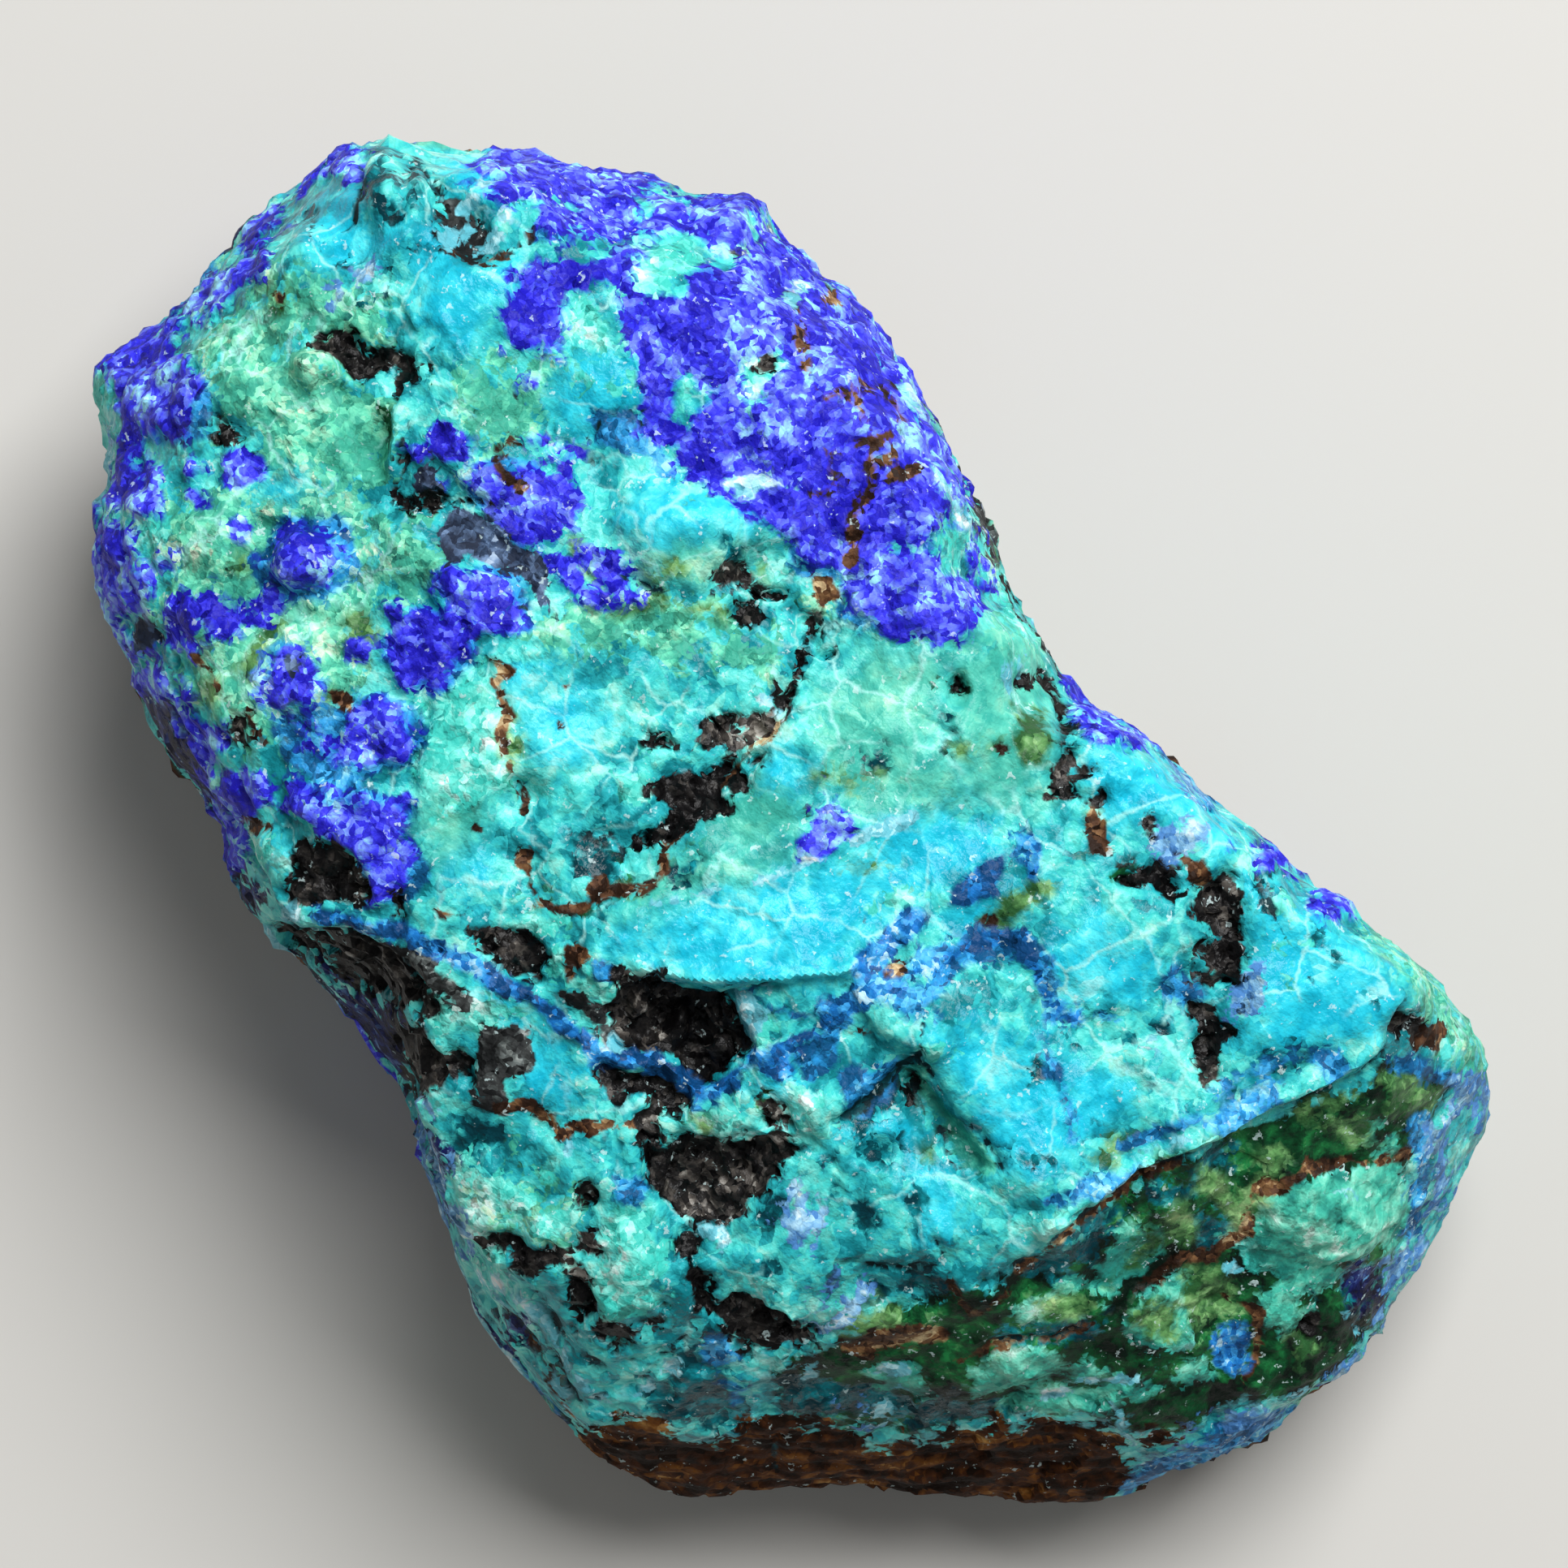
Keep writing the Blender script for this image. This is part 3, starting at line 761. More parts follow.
SEAFOAM = {
    "patches": {
        "right_pale": [
            1163, 800, 1210, 790, 1290, 805, 1305, 850, 1300, 900, 1290, 985, 1240, 1000, 1190,
            960, 1160, 900, 1155, 850],
        "right_darker": [
            885, 985, 930, 960, 985, 970, 990, 1010, 975, 1035, 930, 1050, 880, 1050, 865, 1020],
        "right_middle": [1030, 975, 1060, 960, 1110, 965, 1133, 985, 1100, 1003, 1050, 1003],
        "plateau": [
            1025, 840, 1060, 800, 1130, 805, 1170, 800, 1160, 850, 1155, 900, 1170, 950, 1180,
            985, 1120, 1008, 1060, 990, 1015, 960, 1000, 900],
        "plateau_top": [1180, 790, 1230, 770, 1290, 800, 1290, 815, 1210, 800],
        "slab_lip": [
            800, 1060, 870, 1050, 930, 1055, 975, 1045, 960, 1075, 880, 1095, 820, 1110, 770, 1130],
        "bulge": [775, 665, 850, 655, 920, 660, 935, 675, 900, 692, 860, 712, 810, 705, 785, 692],
        "left_block": [
            545, 850, 600, 835, 610, 900, 612, 960, 600, 1000, 570, 1040, 545, 1060, 525, 1040,
            520, 980, 530, 910],
    },
    "balls": [],
    "veins": {},
}

SEAGREEN = {
    "patches": {
        "end_face": [
            1545, 1480, 1600, 1455, 1660, 1445, 1717, 1420, 1740, 1470, 1742, 1517, 1717, 1545,
            1690, 1540, 1655, 1550, 1650, 1590, 1625, 1598, 1583, 1583, 1570, 1560, 1550, 1540,
            1535, 1510],
        "end_lens_low": [
            1408, 1600, 1440, 1580, 1467, 1575, 1475, 1600, 1465, 1630, 1442, 1658, 1400, 1658,
            1383, 1640],
        "end_chip": [1550, 1592, 1592, 1583, 1617, 1617, 1592, 1650, 1562, 1640],
        "foot_lens": [
            1192, 1683, 1245, 1668, 1300, 1667, 1325, 1692, 1300, 1705, 1258, 1717, 1200, 1717],
        "foot_lens_2": [1242, 1737, 1300, 1715, 1400, 1700, 1417, 1712, 1360, 1735, 1300, 1748],
        "end_chip_2": [
            1367, 1542, 1395, 1512, 1425, 1515, 1433, 1542, 1415, 1565, 1395, 1590, 1362, 1605,
            1345, 1590],
        "end_chip_3": [1245, 1610, 1290, 1590, 1330, 1570, 1345, 1580, 1310, 1605, 1260, 1625],
        "foot_left": [1060, 1690, 1110, 1680, 1150, 1690, 1140, 1715, 1090, 1720],
    },
    "balls": [[1345, 1690, 26, 9], [1470, 1690, 22, 12], [1690, 1400, 18, 10]],
    "veins": {
        "v_wedge": [22, 1128, 1335, 1152, 1370, 1180, 1405, 1205, 1440],
    },
}

OLIVE = {
    "patches": {
        "bulge_side": [803, 693, 833, 697, 830, 717, 806, 715],
        "stripe": [
            683, 650, 697, 650, 710, 663, 720, 680, 737, 700, 747, 717, 743, 727, 727, 717, 713,
            693, 700, 673],
        "lobe": [
            287, 813, 307, 800, 327, 777, 350, 763, 357, 770, 340, 790, 327, 810, 317, 830, 307,
            840, 293, 827],
        "left_pit": [387, 855, 410, 850, 420, 880, 405, 892, 388, 880],
        "right": [1170, 910, 1200, 900, 1230, 915, 1225, 930, 1185, 928],
        "right_2": [1257, 870, 1290, 872, 1297, 910, 1285, 950, 1262, 940, 1255, 905],
        "below_pit": [853, 1378, 870, 1370, 878, 1385, 865, 1398],
        "crease_lip": [1350, 1420, 1375, 1395, 1405, 1393, 1400, 1415, 1370, 1433],
        "slot": [1133, 1410, 1150, 1407, 1150, 1423, 1135, 1423],
        "rim": [1203, 688, 1225, 682, 1235, 697, 1215, 700],
        "yellow": [
            1203, 1154, 1225, 1112, 1245, 1092, 1272, 1082, 1292, 1092, 1285, 1116, 1262, 1132,
            1248, 1148, 1228, 1158],
        "end_yellow": [
            1517, 1500, 1530, 1470, 1550, 1450, 1566, 1440, 1560, 1480, 1542, 1505, 1525, 1520],
        "end_yellow_2": [1280, 1600, 1310, 1590, 1345, 1600, 1325, 1620, 1290, 1618],
        "end_lens": [
            1363, 1590, 1380, 1567, 1400, 1537, 1413, 1510, 1423, 1517, 1427, 1537, 1410, 1557,
            1393, 1573, 1377, 1583],
        "end_patch": [1037, 1625, 1070, 1605, 1110, 1610, 1105, 1635, 1060, 1648, 1040, 1645],
        "end_streak": [1478, 1440, 1500, 1450, 1530, 1490, 1540, 1513, 1522, 1508, 1498, 1475],
        "end_top": [1710, 1345, 1740, 1323, 1773, 1335, 1765, 1365, 1725, 1380],
        "end_strip": [1640, 1385, 1680, 1380, 1700, 1405, 1670, 1415, 1645, 1405],
        "end_olive": [1430, 1490, 1455, 1477, 1473, 1500, 1465, 1530, 1435, 1537],
        "end_low": [1457, 1575, 1500, 1567, 1533, 1590, 1520, 1625, 1480, 1632, 1460, 1610],
        "wall": [1195, 615, 1210, 620, 1225, 660, 1212, 660],
        "end_mid": [1555, 1420, 1575, 1408, 1590, 1420, 1575, 1450, 1560, 1460],
        "end_foot": [1590, 1650, 1625, 1645, 1632, 1665, 1605, 1680],
        "end_foot_2": [1395, 1620, 1425, 1600, 1450, 1605, 1440, 1640, 1410, 1650],
    },
    "balls": [
        [340, 360, 14, 15], [447, 780, 26, 30], [300, 700, 10, 16], [262, 850, 12, 18],
        [1040, 960, 26, 10], [1060, 600, 14, 10], [940, 700, 12, 12], [1075, 1070, 20, 8],
        [1345, 1015, 10, 22], [770, 1100, 8, 6], [630, 930, 10, 20],
    ],
    "veins": {
        "yellow_line": [8, 763, 750, 797, 743, 813, 737, 830, 730, 847, 747, 873, 753, 890, 757],
        "crown_net": [8, 1005, 500, 1050, 490, 1050, 540, 1010, 550],
        "crease": [10, 1540, 1372, 1480, 1400, 1430, 1428],
        "under_crease": [8, 1600, 1372, 1650, 1360, 1700, 1330],
    },
}

FOREST = {
    "patches": {
        "green_end": [
            1207, 1583, 1250, 1568, 1300, 1535, 1350, 1500, 1403, 1458, 1427, 1438, 1470, 1420,
            1550, 1382, 1600, 1362, 1660, 1345, 1710, 1300, 1750, 1300, 1790, 1335, 1765, 1385,
            1740, 1420, 1742, 1500, 1720, 1560, 1710, 1620, 1650, 1690, 1610, 1725, 1520, 1738,
            1440, 1760, 1370, 1745, 1250, 1748, 1150, 1755, 1060, 1768, 1000, 1752, 960, 1745,
            955, 1680, 1000, 1662, 1050, 1640, 1120, 1610, 1180, 1590],
        "slab_shade": [1370, 1085, 1395, 1033, 1410, 1040, 1405, 1075, 1385, 1087],
        "block_crack": [640, 1120, 700, 1122, 745, 1108, 730, 1125, 680, 1135],
        "by_pit": [925, 1352, 940, 1345, 945, 1372, 930, 1375],
        "under_triangle": [985, 1002, 1000, 990, 1003, 1010, 990, 1020],
    },
    "balls": [[1175, 846, 13, 20], [590, 670, 10, 10], [480, 520, 12, 20]],
    "veins": {
        "v_gap": [10, 1130, 1325, 1160, 1372, 1200, 1425],
        "block_low": [9, 735, 1035, 765, 1060, 775, 1080],
    },
}

TEAL = {
    "patches": {
        "foot": [
            960, 1700, 1060, 1708, 1180, 1725, 1290, 1735, 1350, 1742, 1290, 1752, 1150, 1752,
            1040, 1756, 960, 1748],
        "knob": [448, 196, 470, 184, 492, 190, 498, 220, 494, 250, 480, 270, 460, 268, 450, 240],
        "knob_2": [502, 200, 516, 206, 526, 235, 522, 258, 508, 264, 500, 235],
        "v_shade": [
            1020, 1370, 1060, 1345, 1105, 1318, 1120, 1330, 1100, 1360, 1060, 1385, 1030, 1388],
        "end_notch": [
            1645, 1560, 1680, 1550, 1712, 1555, 1718, 1590, 1700, 1625, 1670, 1630, 1650, 1600],
        "deep_band": [
            1507, 1320, 1533, 1307, 1560, 1300, 1587, 1300, 1613, 1290, 1633, 1290, 1640, 1297,
            1627, 1320, 1607, 1337, 1580, 1347, 1553, 1353, 1527, 1360, 1500, 1367, 1487, 1353],
        "end_dark_5": [1471, 1440, 1480, 1408, 1500, 1400, 1517, 1410, 1517, 1440, 1495, 1448],
        "end_dark_6": [1300, 1535, 1330, 1500, 1365, 1480, 1385, 1490, 1360, 1530, 1320, 1555],
        "end_dark_1": [1467, 1492, 1500, 1482, 1520, 1500, 1525, 1533, 1500, 1545, 1475, 1540],
        "end_dark_2": [1655, 1552, 1690, 1545, 1708, 1560, 1708, 1600, 1680, 1617, 1652, 1600],
        "end_dark_3": [1400, 1470, 1440, 1450, 1470, 1440, 1465, 1470, 1430, 1490],
        "end_dark_4": [1290, 1545, 1330, 1525, 1345, 1545, 1315, 1570, 1285, 1575],
        "foot_dark": [1220, 1640, 1290, 1625, 1360, 1625, 1350, 1650, 1290, 1660, 1225, 1662],
        "slab_under": [830, 1212, 880, 1225, 950, 1208, 945, 1222, 890, 1238, 845, 1238],
        "dark_spot": [1057, 1415, 1070, 1400, 1095, 1400, 1107, 1418, 1098, 1435, 1070, 1440],
        "low_ring": [1043, 1495, 1060, 1480, 1085, 1485, 1090, 1508, 1068, 1517, 1048, 1510],
        "right_dark": [1383, 1055, 1395, 1035, 1412, 1035, 1410, 1070, 1392, 1077],
        "rim_dark": [1553, 1065, 1570, 1060, 1587, 1075, 1575, 1090, 1558, 1085],
        "low_left": [567, 1372, 600, 1367, 617, 1395, 608, 1433, 580, 1430, 565, 1400],
        "blocks": [
            783, 1705, 830, 1690, 870, 1640, 900, 1670, 930, 1735, 925, 1765, 860, 1765, 800, 1750],
        "spot_right": [1263, 1300, 1280, 1293, 1297, 1305, 1290, 1320, 1270, 1320],
        "fold": [1540, 1050, 1552, 1060, 1568, 1115, 1585, 1150, 1570, 1150, 1550, 1110],
        "globe_foot": [
            930, 1640, 990, 1630, 1040, 1590, 1100, 1580, 1160, 1560, 1180, 1585, 1110, 1610,
            1050, 1640, 980, 1660],
        "block_side": [710, 1030, 750, 1040, 770, 1080, 740, 1085, 715, 1065],
        "end_dark": [1583, 1475, 1620, 1452, 1680, 1443, 1690, 1465, 1650, 1480, 1600, 1492],
        "end_deep": [1270, 1545, 1310, 1520, 1360, 1505, 1350, 1560, 1300, 1590, 1265, 1590],
        "bulge_left": [880, 655, 905, 650, 920, 680, 905, 700, 885, 690],
        "globe_left": [935, 1560, 960, 1545, 960, 1590, 940, 1600],
        "wall_foot": [620, 1600, 650, 1630, 690, 1690, 680, 1710, 640, 1670, 615, 1630],
        "mint_wall": [840, 1490, 870, 1510, 860, 1560, 835, 1570, 830, 1520],
        "below_crust": [560, 1395, 600, 1440, 560, 1460, 548, 1430],
    },
    "balls": [
        [1030, 1470, 12, 12], [720, 1060, 14, 20], [745, 1135, 14, 12], [840, 1070, 26, 18],
        [1075, 940, 20, 14], [960, 1490, 14, 24], [1170, 900, 16, 20], [905, 1520, 10, 18],
        [1130, 1470, 10, 30],
    ],
    "veins": {
        "ridge": [9, 512, 300, 490, 325, 462, 352, 440, 378],
        "ridge_low": [8, 520, 430, 505, 480, 492, 520, 486, 570],
        "bowl": [5, 385, 235, 378, 270, 392, 305, 425, 325, 462, 315],
        "right_line": [10, 1320, 1290, 1400, 1270, 1460, 1285],
        "turquoise_low": [12, 1240, 1420, 1300, 1430, 1350, 1400],
        "globe": [10, 960, 1480, 1000, 1440, 1030, 1425],
        "band_right": [10, 1550, 1060, 1600, 1130, 1680, 1220, 1705, 1260],
        "wall_line": [8, 600, 1620, 660, 1680, 700, 1745],
    },
}

BRIGHT = {
    "patches": {
        "bowl": [
            376, 262, 397, 232, 425, 215, 445, 222, 448, 262, 470, 285, 500, 280, 498, 300, 470,
            322, 430, 332, 395, 322, 378, 295],
        "upper_slope": [
            505, 300, 530, 282, 560, 328, 610, 335, 640, 320, 655, 345, 625, 360, 605, 400, 575,
            430, 545, 420, 520, 380, 505, 340],
        "far_upper": [555, 195, 600, 190, 625, 215, 622, 245, 590, 250, 560, 235],
        "v_plate": [
            1150, 1278, 1200, 1264, 1290, 1290, 1330, 1310, 1330, 1400, 1290, 1450, 1245, 1440,
            1205, 1375, 1165, 1315],
        "left_of_vein": [590, 1200, 640, 1240, 620, 1262, 570, 1250],
        "bulge": [
            765, 640, 790, 600, 830, 585, 880, 600, 920, 630, 945, 650, 900, 662, 850, 658, 800,
            668],
        "convex": [
            693, 450, 713, 437, 740, 433, 773, 440, 790, 450, 797, 470, 793, 490, 773, 500, 757,
            503, 743, 520, 727, 537, 707, 533, 683, 513, 680, 483],
        "slab": [
            750, 1150, 830, 1120, 900, 1095, 980, 1078, 1060, 1040, 1130, 1012, 1220, 1015, 1240,
            1045, 1180, 1080, 1120, 1115, 1060, 1170, 1040, 1200, 960, 1205, 880, 1210, 830, 1205,
            790, 1180, 755, 1165],
        "slab_right": [
            1300, 1150, 1350, 1130, 1400, 1150, 1440, 1200, 1400, 1235, 1340, 1240, 1300, 1225,
            1290, 1190],
        "right_plate": [
            1530, 1080, 1590, 1090, 1660, 1140, 1715, 1200, 1725, 1240, 1700, 1280, 1620, 1290,
            1560, 1290, 1520, 1290, 1530, 1240, 1550, 1190, 1545, 1130],
        "right_top": [
            1330, 930, 1380, 920, 1440, 935, 1500, 990, 1520, 1040, 1500, 1060, 1470, 1010, 1410,
            1000, 1370, 1030, 1340, 980],
        "globe_bright": [1117, 1420, 1150, 1430, 1177, 1470, 1175, 1523, 1140, 1520, 1120, 1480],
        "low_slope": [
            1200, 1320, 1290, 1330, 1360, 1320, 1400, 1350, 1350, 1400, 1290, 1450, 1250, 1440,
            1215, 1390],
        "block_spot": [947, 915, 985, 910, 990, 950, 975, 972, 950, 960],
        "notch_low": [910, 1330, 960, 1320, 985, 1345, 960, 1360, 920, 1352],
        "left_band": [640, 1280, 700, 1290, 720, 1330, 690, 1360, 650, 1350],
        "foot": [900, 1743, 925, 1740, 940, 1760, 920, 1773, 903, 1765],
        "globe_top": [1030, 1400, 1060, 1385, 1110, 1385, 1140, 1400, 1110, 1400, 1050, 1405],
    },
    "balls": [
        [430, 280, 30, 30], [560, 380, 30, 16], [560, 740, 14, 10], [700, 900, 46, 40],
        [1040, 1110, 40, 20], [600, 1250, 26, 12], [1250, 1100, 24, 16], [1200, 1130, 30, 20],
        [930, 1160, 60, 20], [660, 840, 30, 20], [320, 1050, 14, 16], [580, 1080, 20, 26],
        [1400, 960, 40, 24], [1590, 1240, 40, 30], [340, 600, 22, 12],
    ],
    "veins": {},
}

# Windows in the azurite, through which paler or browner stone shows.
AZURITE_WINDOWS = {
    "patches": {name: MINT["patches"][name] for name in
                ("azurite_window", "crown_window", "round_pit", "right_window", "left_window",
                 "by_crown")},
    "balls": [],
    "veins": {},
}

# Small forms on the face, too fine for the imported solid, in the same terms as the minerals.
RIDGES = {
    "patches": {},
    "balls": [
        [472, 228, 20, 40], [512, 232, 11, 30], [378, 690, 36, 28], [390, 455, 24, 22],
        [900, 275, 40, 18],
    ],
    "veins": {
        "top": [14, 515, 275, 485, 310, 455, 345, 435, 370],
        "middle": [12, 520, 430, 505, 480, 492, 520, 486, 570],
        "slab_lip": [10, 790, 1190, 880, 1205, 960, 1200, 1050, 1190],
        "crease_lip": [10, 1690, 1285, 1640, 1325, 1560, 1360, 1460, 1405, 1390, 1440, 1290, 1510],
    },
}

HOLLOWS = {
    "patches": {
        "cavity": [540, 232, 566, 232, 592, 258, 606, 290, 604, 318, 580, 322, 558, 300, 545, 268],
        "under_crust": [400, 470, 460, 480, 480, 530, 470, 590, 430, 560, 410, 520],
        "v_wedge": [1115, 1330, 1140, 1340, 1215, 1440, 1195, 1450],
    },
    "balls": [[420, 288, 40, 36], [640, 985, 30, 26], [1075, 1420, 22, 18], [1180, 850, 8, 12]],
    "veins": {
        "below_slab": [10, 800, 1222, 880, 1242, 960, 1222],
        "left_of_block": [8, 500, 1000, 512, 930, 525, 860],
    },
}


class Mineral(NamedTuple):
    """How one mineral looks, and how much of it the unseen sides and back have."""

    shapes: dict  # its patches, balls and veins on the face
    tones: tuple  # sRGB hex, from its shaded chips to its brightest, and its few glints
    chip: float  # size of its chips, in millimetres
    soft: float  # width of its edge, in millimetres
    ragged: float  # how far its edge wanders from chip to chip, in millimetres
    grow: float  # how far it reaches past its traced edge, in millimetres
    rough: float  # roughness of its surface
    tilt: float  # how far its chips lean out of the surface
    rise: float  # how far it stands out of the stone, in millimetres
    spread: float  # size of its patches on the sides and back, in millimetres
    rarity: float  # how rare those are: noise above this is that mineral


# In the order in which they lie over the turquoise chrysocolla, from the deepest up.
MINERALS = {
    # Green copper silicate stained by malachite: fine broken grains, waxy
    "malachite": Mineral(MALACHITE, ("#3ca890", "#66d6b2", "#9cecc6", "#dcfadc"), FINE, 0.12,
                         1.1, 0.15, 0.5, 0.5, 0.05, 11, 0.1),
    # Smooth pale green chrysocolla in large plates
    "seafoam": Mineral(SEAFOAM, ("#3cb0a0", "#5cccb6", "#82dec2", "#b4f2cc"), LARGE, 0.9, 0.4, 0.1,
                       0.32, 0.15, 0.05, 9, 0.26),
    # Chrysocolla at its cleanest: enamel-like bright cyan in large smooth chips
    "bright": Mineral(BRIGHT, ("#14b4d0", "#2cd0e6", "#56e8f2", "#9af8fa"), LARGE, 0.7, 0.5, 0.0,
                      0.3, 0.12, 0.05, 9, 0.22),
    # Dark green broken malachite with glassy chrysocolla in it
    "forest": Mineral(FOREST, ("#00140a", "#064624", "#1e7c40", "#80d084"), LARGE, 0.15, 0.4, 0.0,
                      0.55, 0.35, 0.0, 12, 0.16),
    # Glassy deep chrysocolla, dark where the light sinks in
    "teal": Mineral(TEAL, ("#023640", "#06626c", "#149aa6", "#4fd0d8"), MEDIUM, 0.2, 0.5, -0.15,
                    0.25, 0.3, -0.1, 8, 0.2),
    # Chalky pale chrysocolla
    "mint": Mineral(MINT, ("#3cc8ba", "#70e8d8", "#a8f8ea", "#e4fff8"), FINE, 0.1, 0.6, 0.05,
                    0.5, 0.5, 0.1, 7, 0.3),
    # Glassy sea green lenses in the dark green end
    "seagreen": Mineral(SEAGREEN, ("#24887c", "#4cc8ae", "#88e8cc", "#d8fff0"), LARGE, 0.15, 0.35,
                        0.05, 0.45, 0.35, 0.05, 9, 0.34),
    # Copper silicate stained yellow-green by iron
    "olive": Mineral(OLIVE, ("#2a5a30", "#649c5c", "#96c884", "#d4eeaa"), MEDIUM, 0.3, 0.35, 0.0,
                     0.4, 0.4, 0.0, 6, 0.3),
    # Dense azurite, nearly black where little light comes back out
    "navy": Mineral(NAVY, ("#080c2a", "#121a54", "#26397e", "#6a8cc0"), FINE, 0.1, 0.5, 0.05,
                    0.5, 0.5, 0.0, 9, 0.24),
    # Azurite veins thinned by chrysocolla: cobalt with paler grains
    "azure": Mineral(AZURE, ("#0c5484", "#2a98dc", "#58c0f4", "#a8ecfc"), FINE, 0.16, 0.3, 0.08,
                     0.5, 0.5, 0.05, 6, 0.28),
    # Dull grey barren rock between the ores
    "gangue": Mineral(GANGUE, ("#17191a", "#383b3b", "#68706f", "#bcc4c0"), FINE, 0.08, 0.3, 0.0,
                      0.7, 0.6, 0.05, 12, 0.3),
    # Azurite thinned to a chalky pale blue
    "lavender": Mineral(LAVENDER, ("#4a84c4", "#7cb6e0", "#b0dcf2", "#f4fcff"), FINE, 0.1, 0.6,
                        -0.05, 0.6, 0.5, 0.05, 5, 0.4),
    # Azurite as small crusted balls: violet-blue, granular, with deeper blue in the gaps
    "azurite": Mineral(AZURITE, ("#1e1ab4", "#3c3cf4", "#7088ff", "#9ce4ff"), FINE, 0.16, 0.4, 0.18,
                       0.5, 0.55, 0.25, 10, 0.12),
    # Matt grey oxide with a blue cast
    "slate": Mineral(SLATE, ("#222c40", "#465a78", "#728cb0", "#b8cce0"), FINE, 0.08, 0.4, 0.0,
                     0.7, 0.6, -0.1, 8, 0.34),
    # Rusty limonite earth, sunk into the seams
    "ochre": Mineral(OCHRE, ("#261408", "#5c3c26", "#946e48", "#dcc496"), FINE, 0.06, 0.2, 0.0,
                     0.6, 0.5, -0.08, 7, 0.32),
    # The brown host rock, matt and streaked lengthwise
    "ironstone": Mineral(IRONSTONE, ("#1a0a00", "#44220a", "#7a4a18", "#b08448"), MEDIUM, 0.1, 0.4,
                         0.0, 0.8, 0.3, 0.0, 13, 0.3),
    # Tenorite: sooty black crust, pitted, with glints
    "tenorite": Mineral(TENORITE, ("#0c0b0c", "#282625", "#56514c", "#b4b0a8"), FINE, 0.08, 0.3,
                        0.04, 0.4, 0.7, -0.3, 7, 0.3),
    # A vein of clean azurite, cobalt blue, that runs across the black crusts
    "cobalt": Mineral(COBALT, ("#0a4478", "#1c7acc", "#48b0f0", "#c4eeff"), FINE, 0.12, 0.2, 0.06,
                      0.45, 0.5, 0.1, 4, 0.5),
    # Threads and dots of chalky quartz
    "white": Mineral(WHITE, ("#5fb8c8", "#98dce8", "#cef4f8", "#ffffff"), FINE, 0.06, 0.25, 0.04,
                     0.5, 0.4, 0.02, 4, 0.5),
    # Open cracks, dark because little light gets in
    "cracks": Mineral(CRACKS, ("#04242a", "#0b444c", "#1a6a74", "#3a9aa0"), FINE, 0.06, 0.12, -0.02,
                      0.6, 0.2, -0.35, 6, 0.45),
}


def linear(hex_colour):
    """An sRGB hex colour as Blender's linear red, green, blue and alpha."""
    channels = [int(hex_colour[i : i + 2], 16) / 255 for i in (1, 3, 5)]
    return [c / 12.92 if c <= 0.04045 else ((c + 0.055) / 1.055) ** 2.4 for c in channels] + [1.0]


def fractal_noise(points, size, smoothness, octaves, shift=(0, 0, 0)):
    """Clouds of noise, the largest of them this many millimetres across."""
    shift = Vector(shift)
    return np.array([noise.fractal(Vector(p) / size + shift, smoothness, 2.0, octaves)
                     for p in points])


def pixels_per_mm(height):
    """The picture's scale at a height above the floor, in millimetres."""
    at_outline = PICTURE_LENGTH / STONE_LENGTH
    return at_outline * (EYE_HEIGHT - OUTLINE_HEIGHT) / (EYE_HEIGHT - height)


def origin_offset():
    """How far right of and below the line of sight the origin lies, in millimetres."""
    scale = pixels_per_mm(OUTLINE_HEIGHT)
    return [(place - PICTURE_MIDDLE) / scale for place in ORIGIN_IN_PICTURE]


def to_picture(points):
    """The picture's pixels in which points of the stone, in millimetres, are seen."""
    right = points[:, 0] * math.cos(LENGTH_ANGLE) + points[:, 1] * math.sin(LENGTH_ANGLE)
    down = points[:, 0] * math.sin(LENGTH_ANGLE) - points[:, 1] * math.cos(LENGTH_ANGLE)
    offset = origin_offset()
    scale = pixels_per_mm(points[:, 2])
    return np.stack([PICTURE_MIDDLE + (right + offset[0]) * scale,
                     PICTURE_MIDDLE + (down + offset[1]) * scale], axis=1)


def smooth_step(low, high, values):
    """0 at low and 1 at high, with a smooth change between them."""
    share = np.clip((values - low) / (high - low), 0, 1)
    return share * share * (3 - 2 * share)


def line_distance(pixels, corners):
    """The distance in pixels from each place to the nearest of a line's stretches."""
    nearest = np.full(len(pixels), np.inf)
    for start, end in zip(corners[:-1], corners[1:]):
        run = end - start
        offset = pixels - start
        along = np.clip(offset @ run / max(run @ run, 1e-9), 0, 1)
        gap = offset - along[:, None] * run
        nearest = np.minimum(nearest, np.hypot(gap[:, 0], gap[:, 1]))
    return nearest


def inside_patch(pixels, corners):
    """True within a closed outline, where a ray crosses an odd number of its sides."""
    inside = np.zeros(len(pixels), bool)
    x, y = pixels.T
    for (x0, y0), (x1, y1) in zip(corners, np.roll(corners, -1, axis=0)):
        if y0 != y1:
            crosses = (y0 > y) != (y1 > y)
            inside ^= crosses & (x < (x1 - x0) * (y - y0) / (y1 - y0) + x0)
    return inside


def near(pixels, low, high, reach):
    """Numbers of the places that lie within reach of a box."""
    return np.flatnonzero(((pixels > low - reach) & (pixels < high + reach)).all(axis=1))


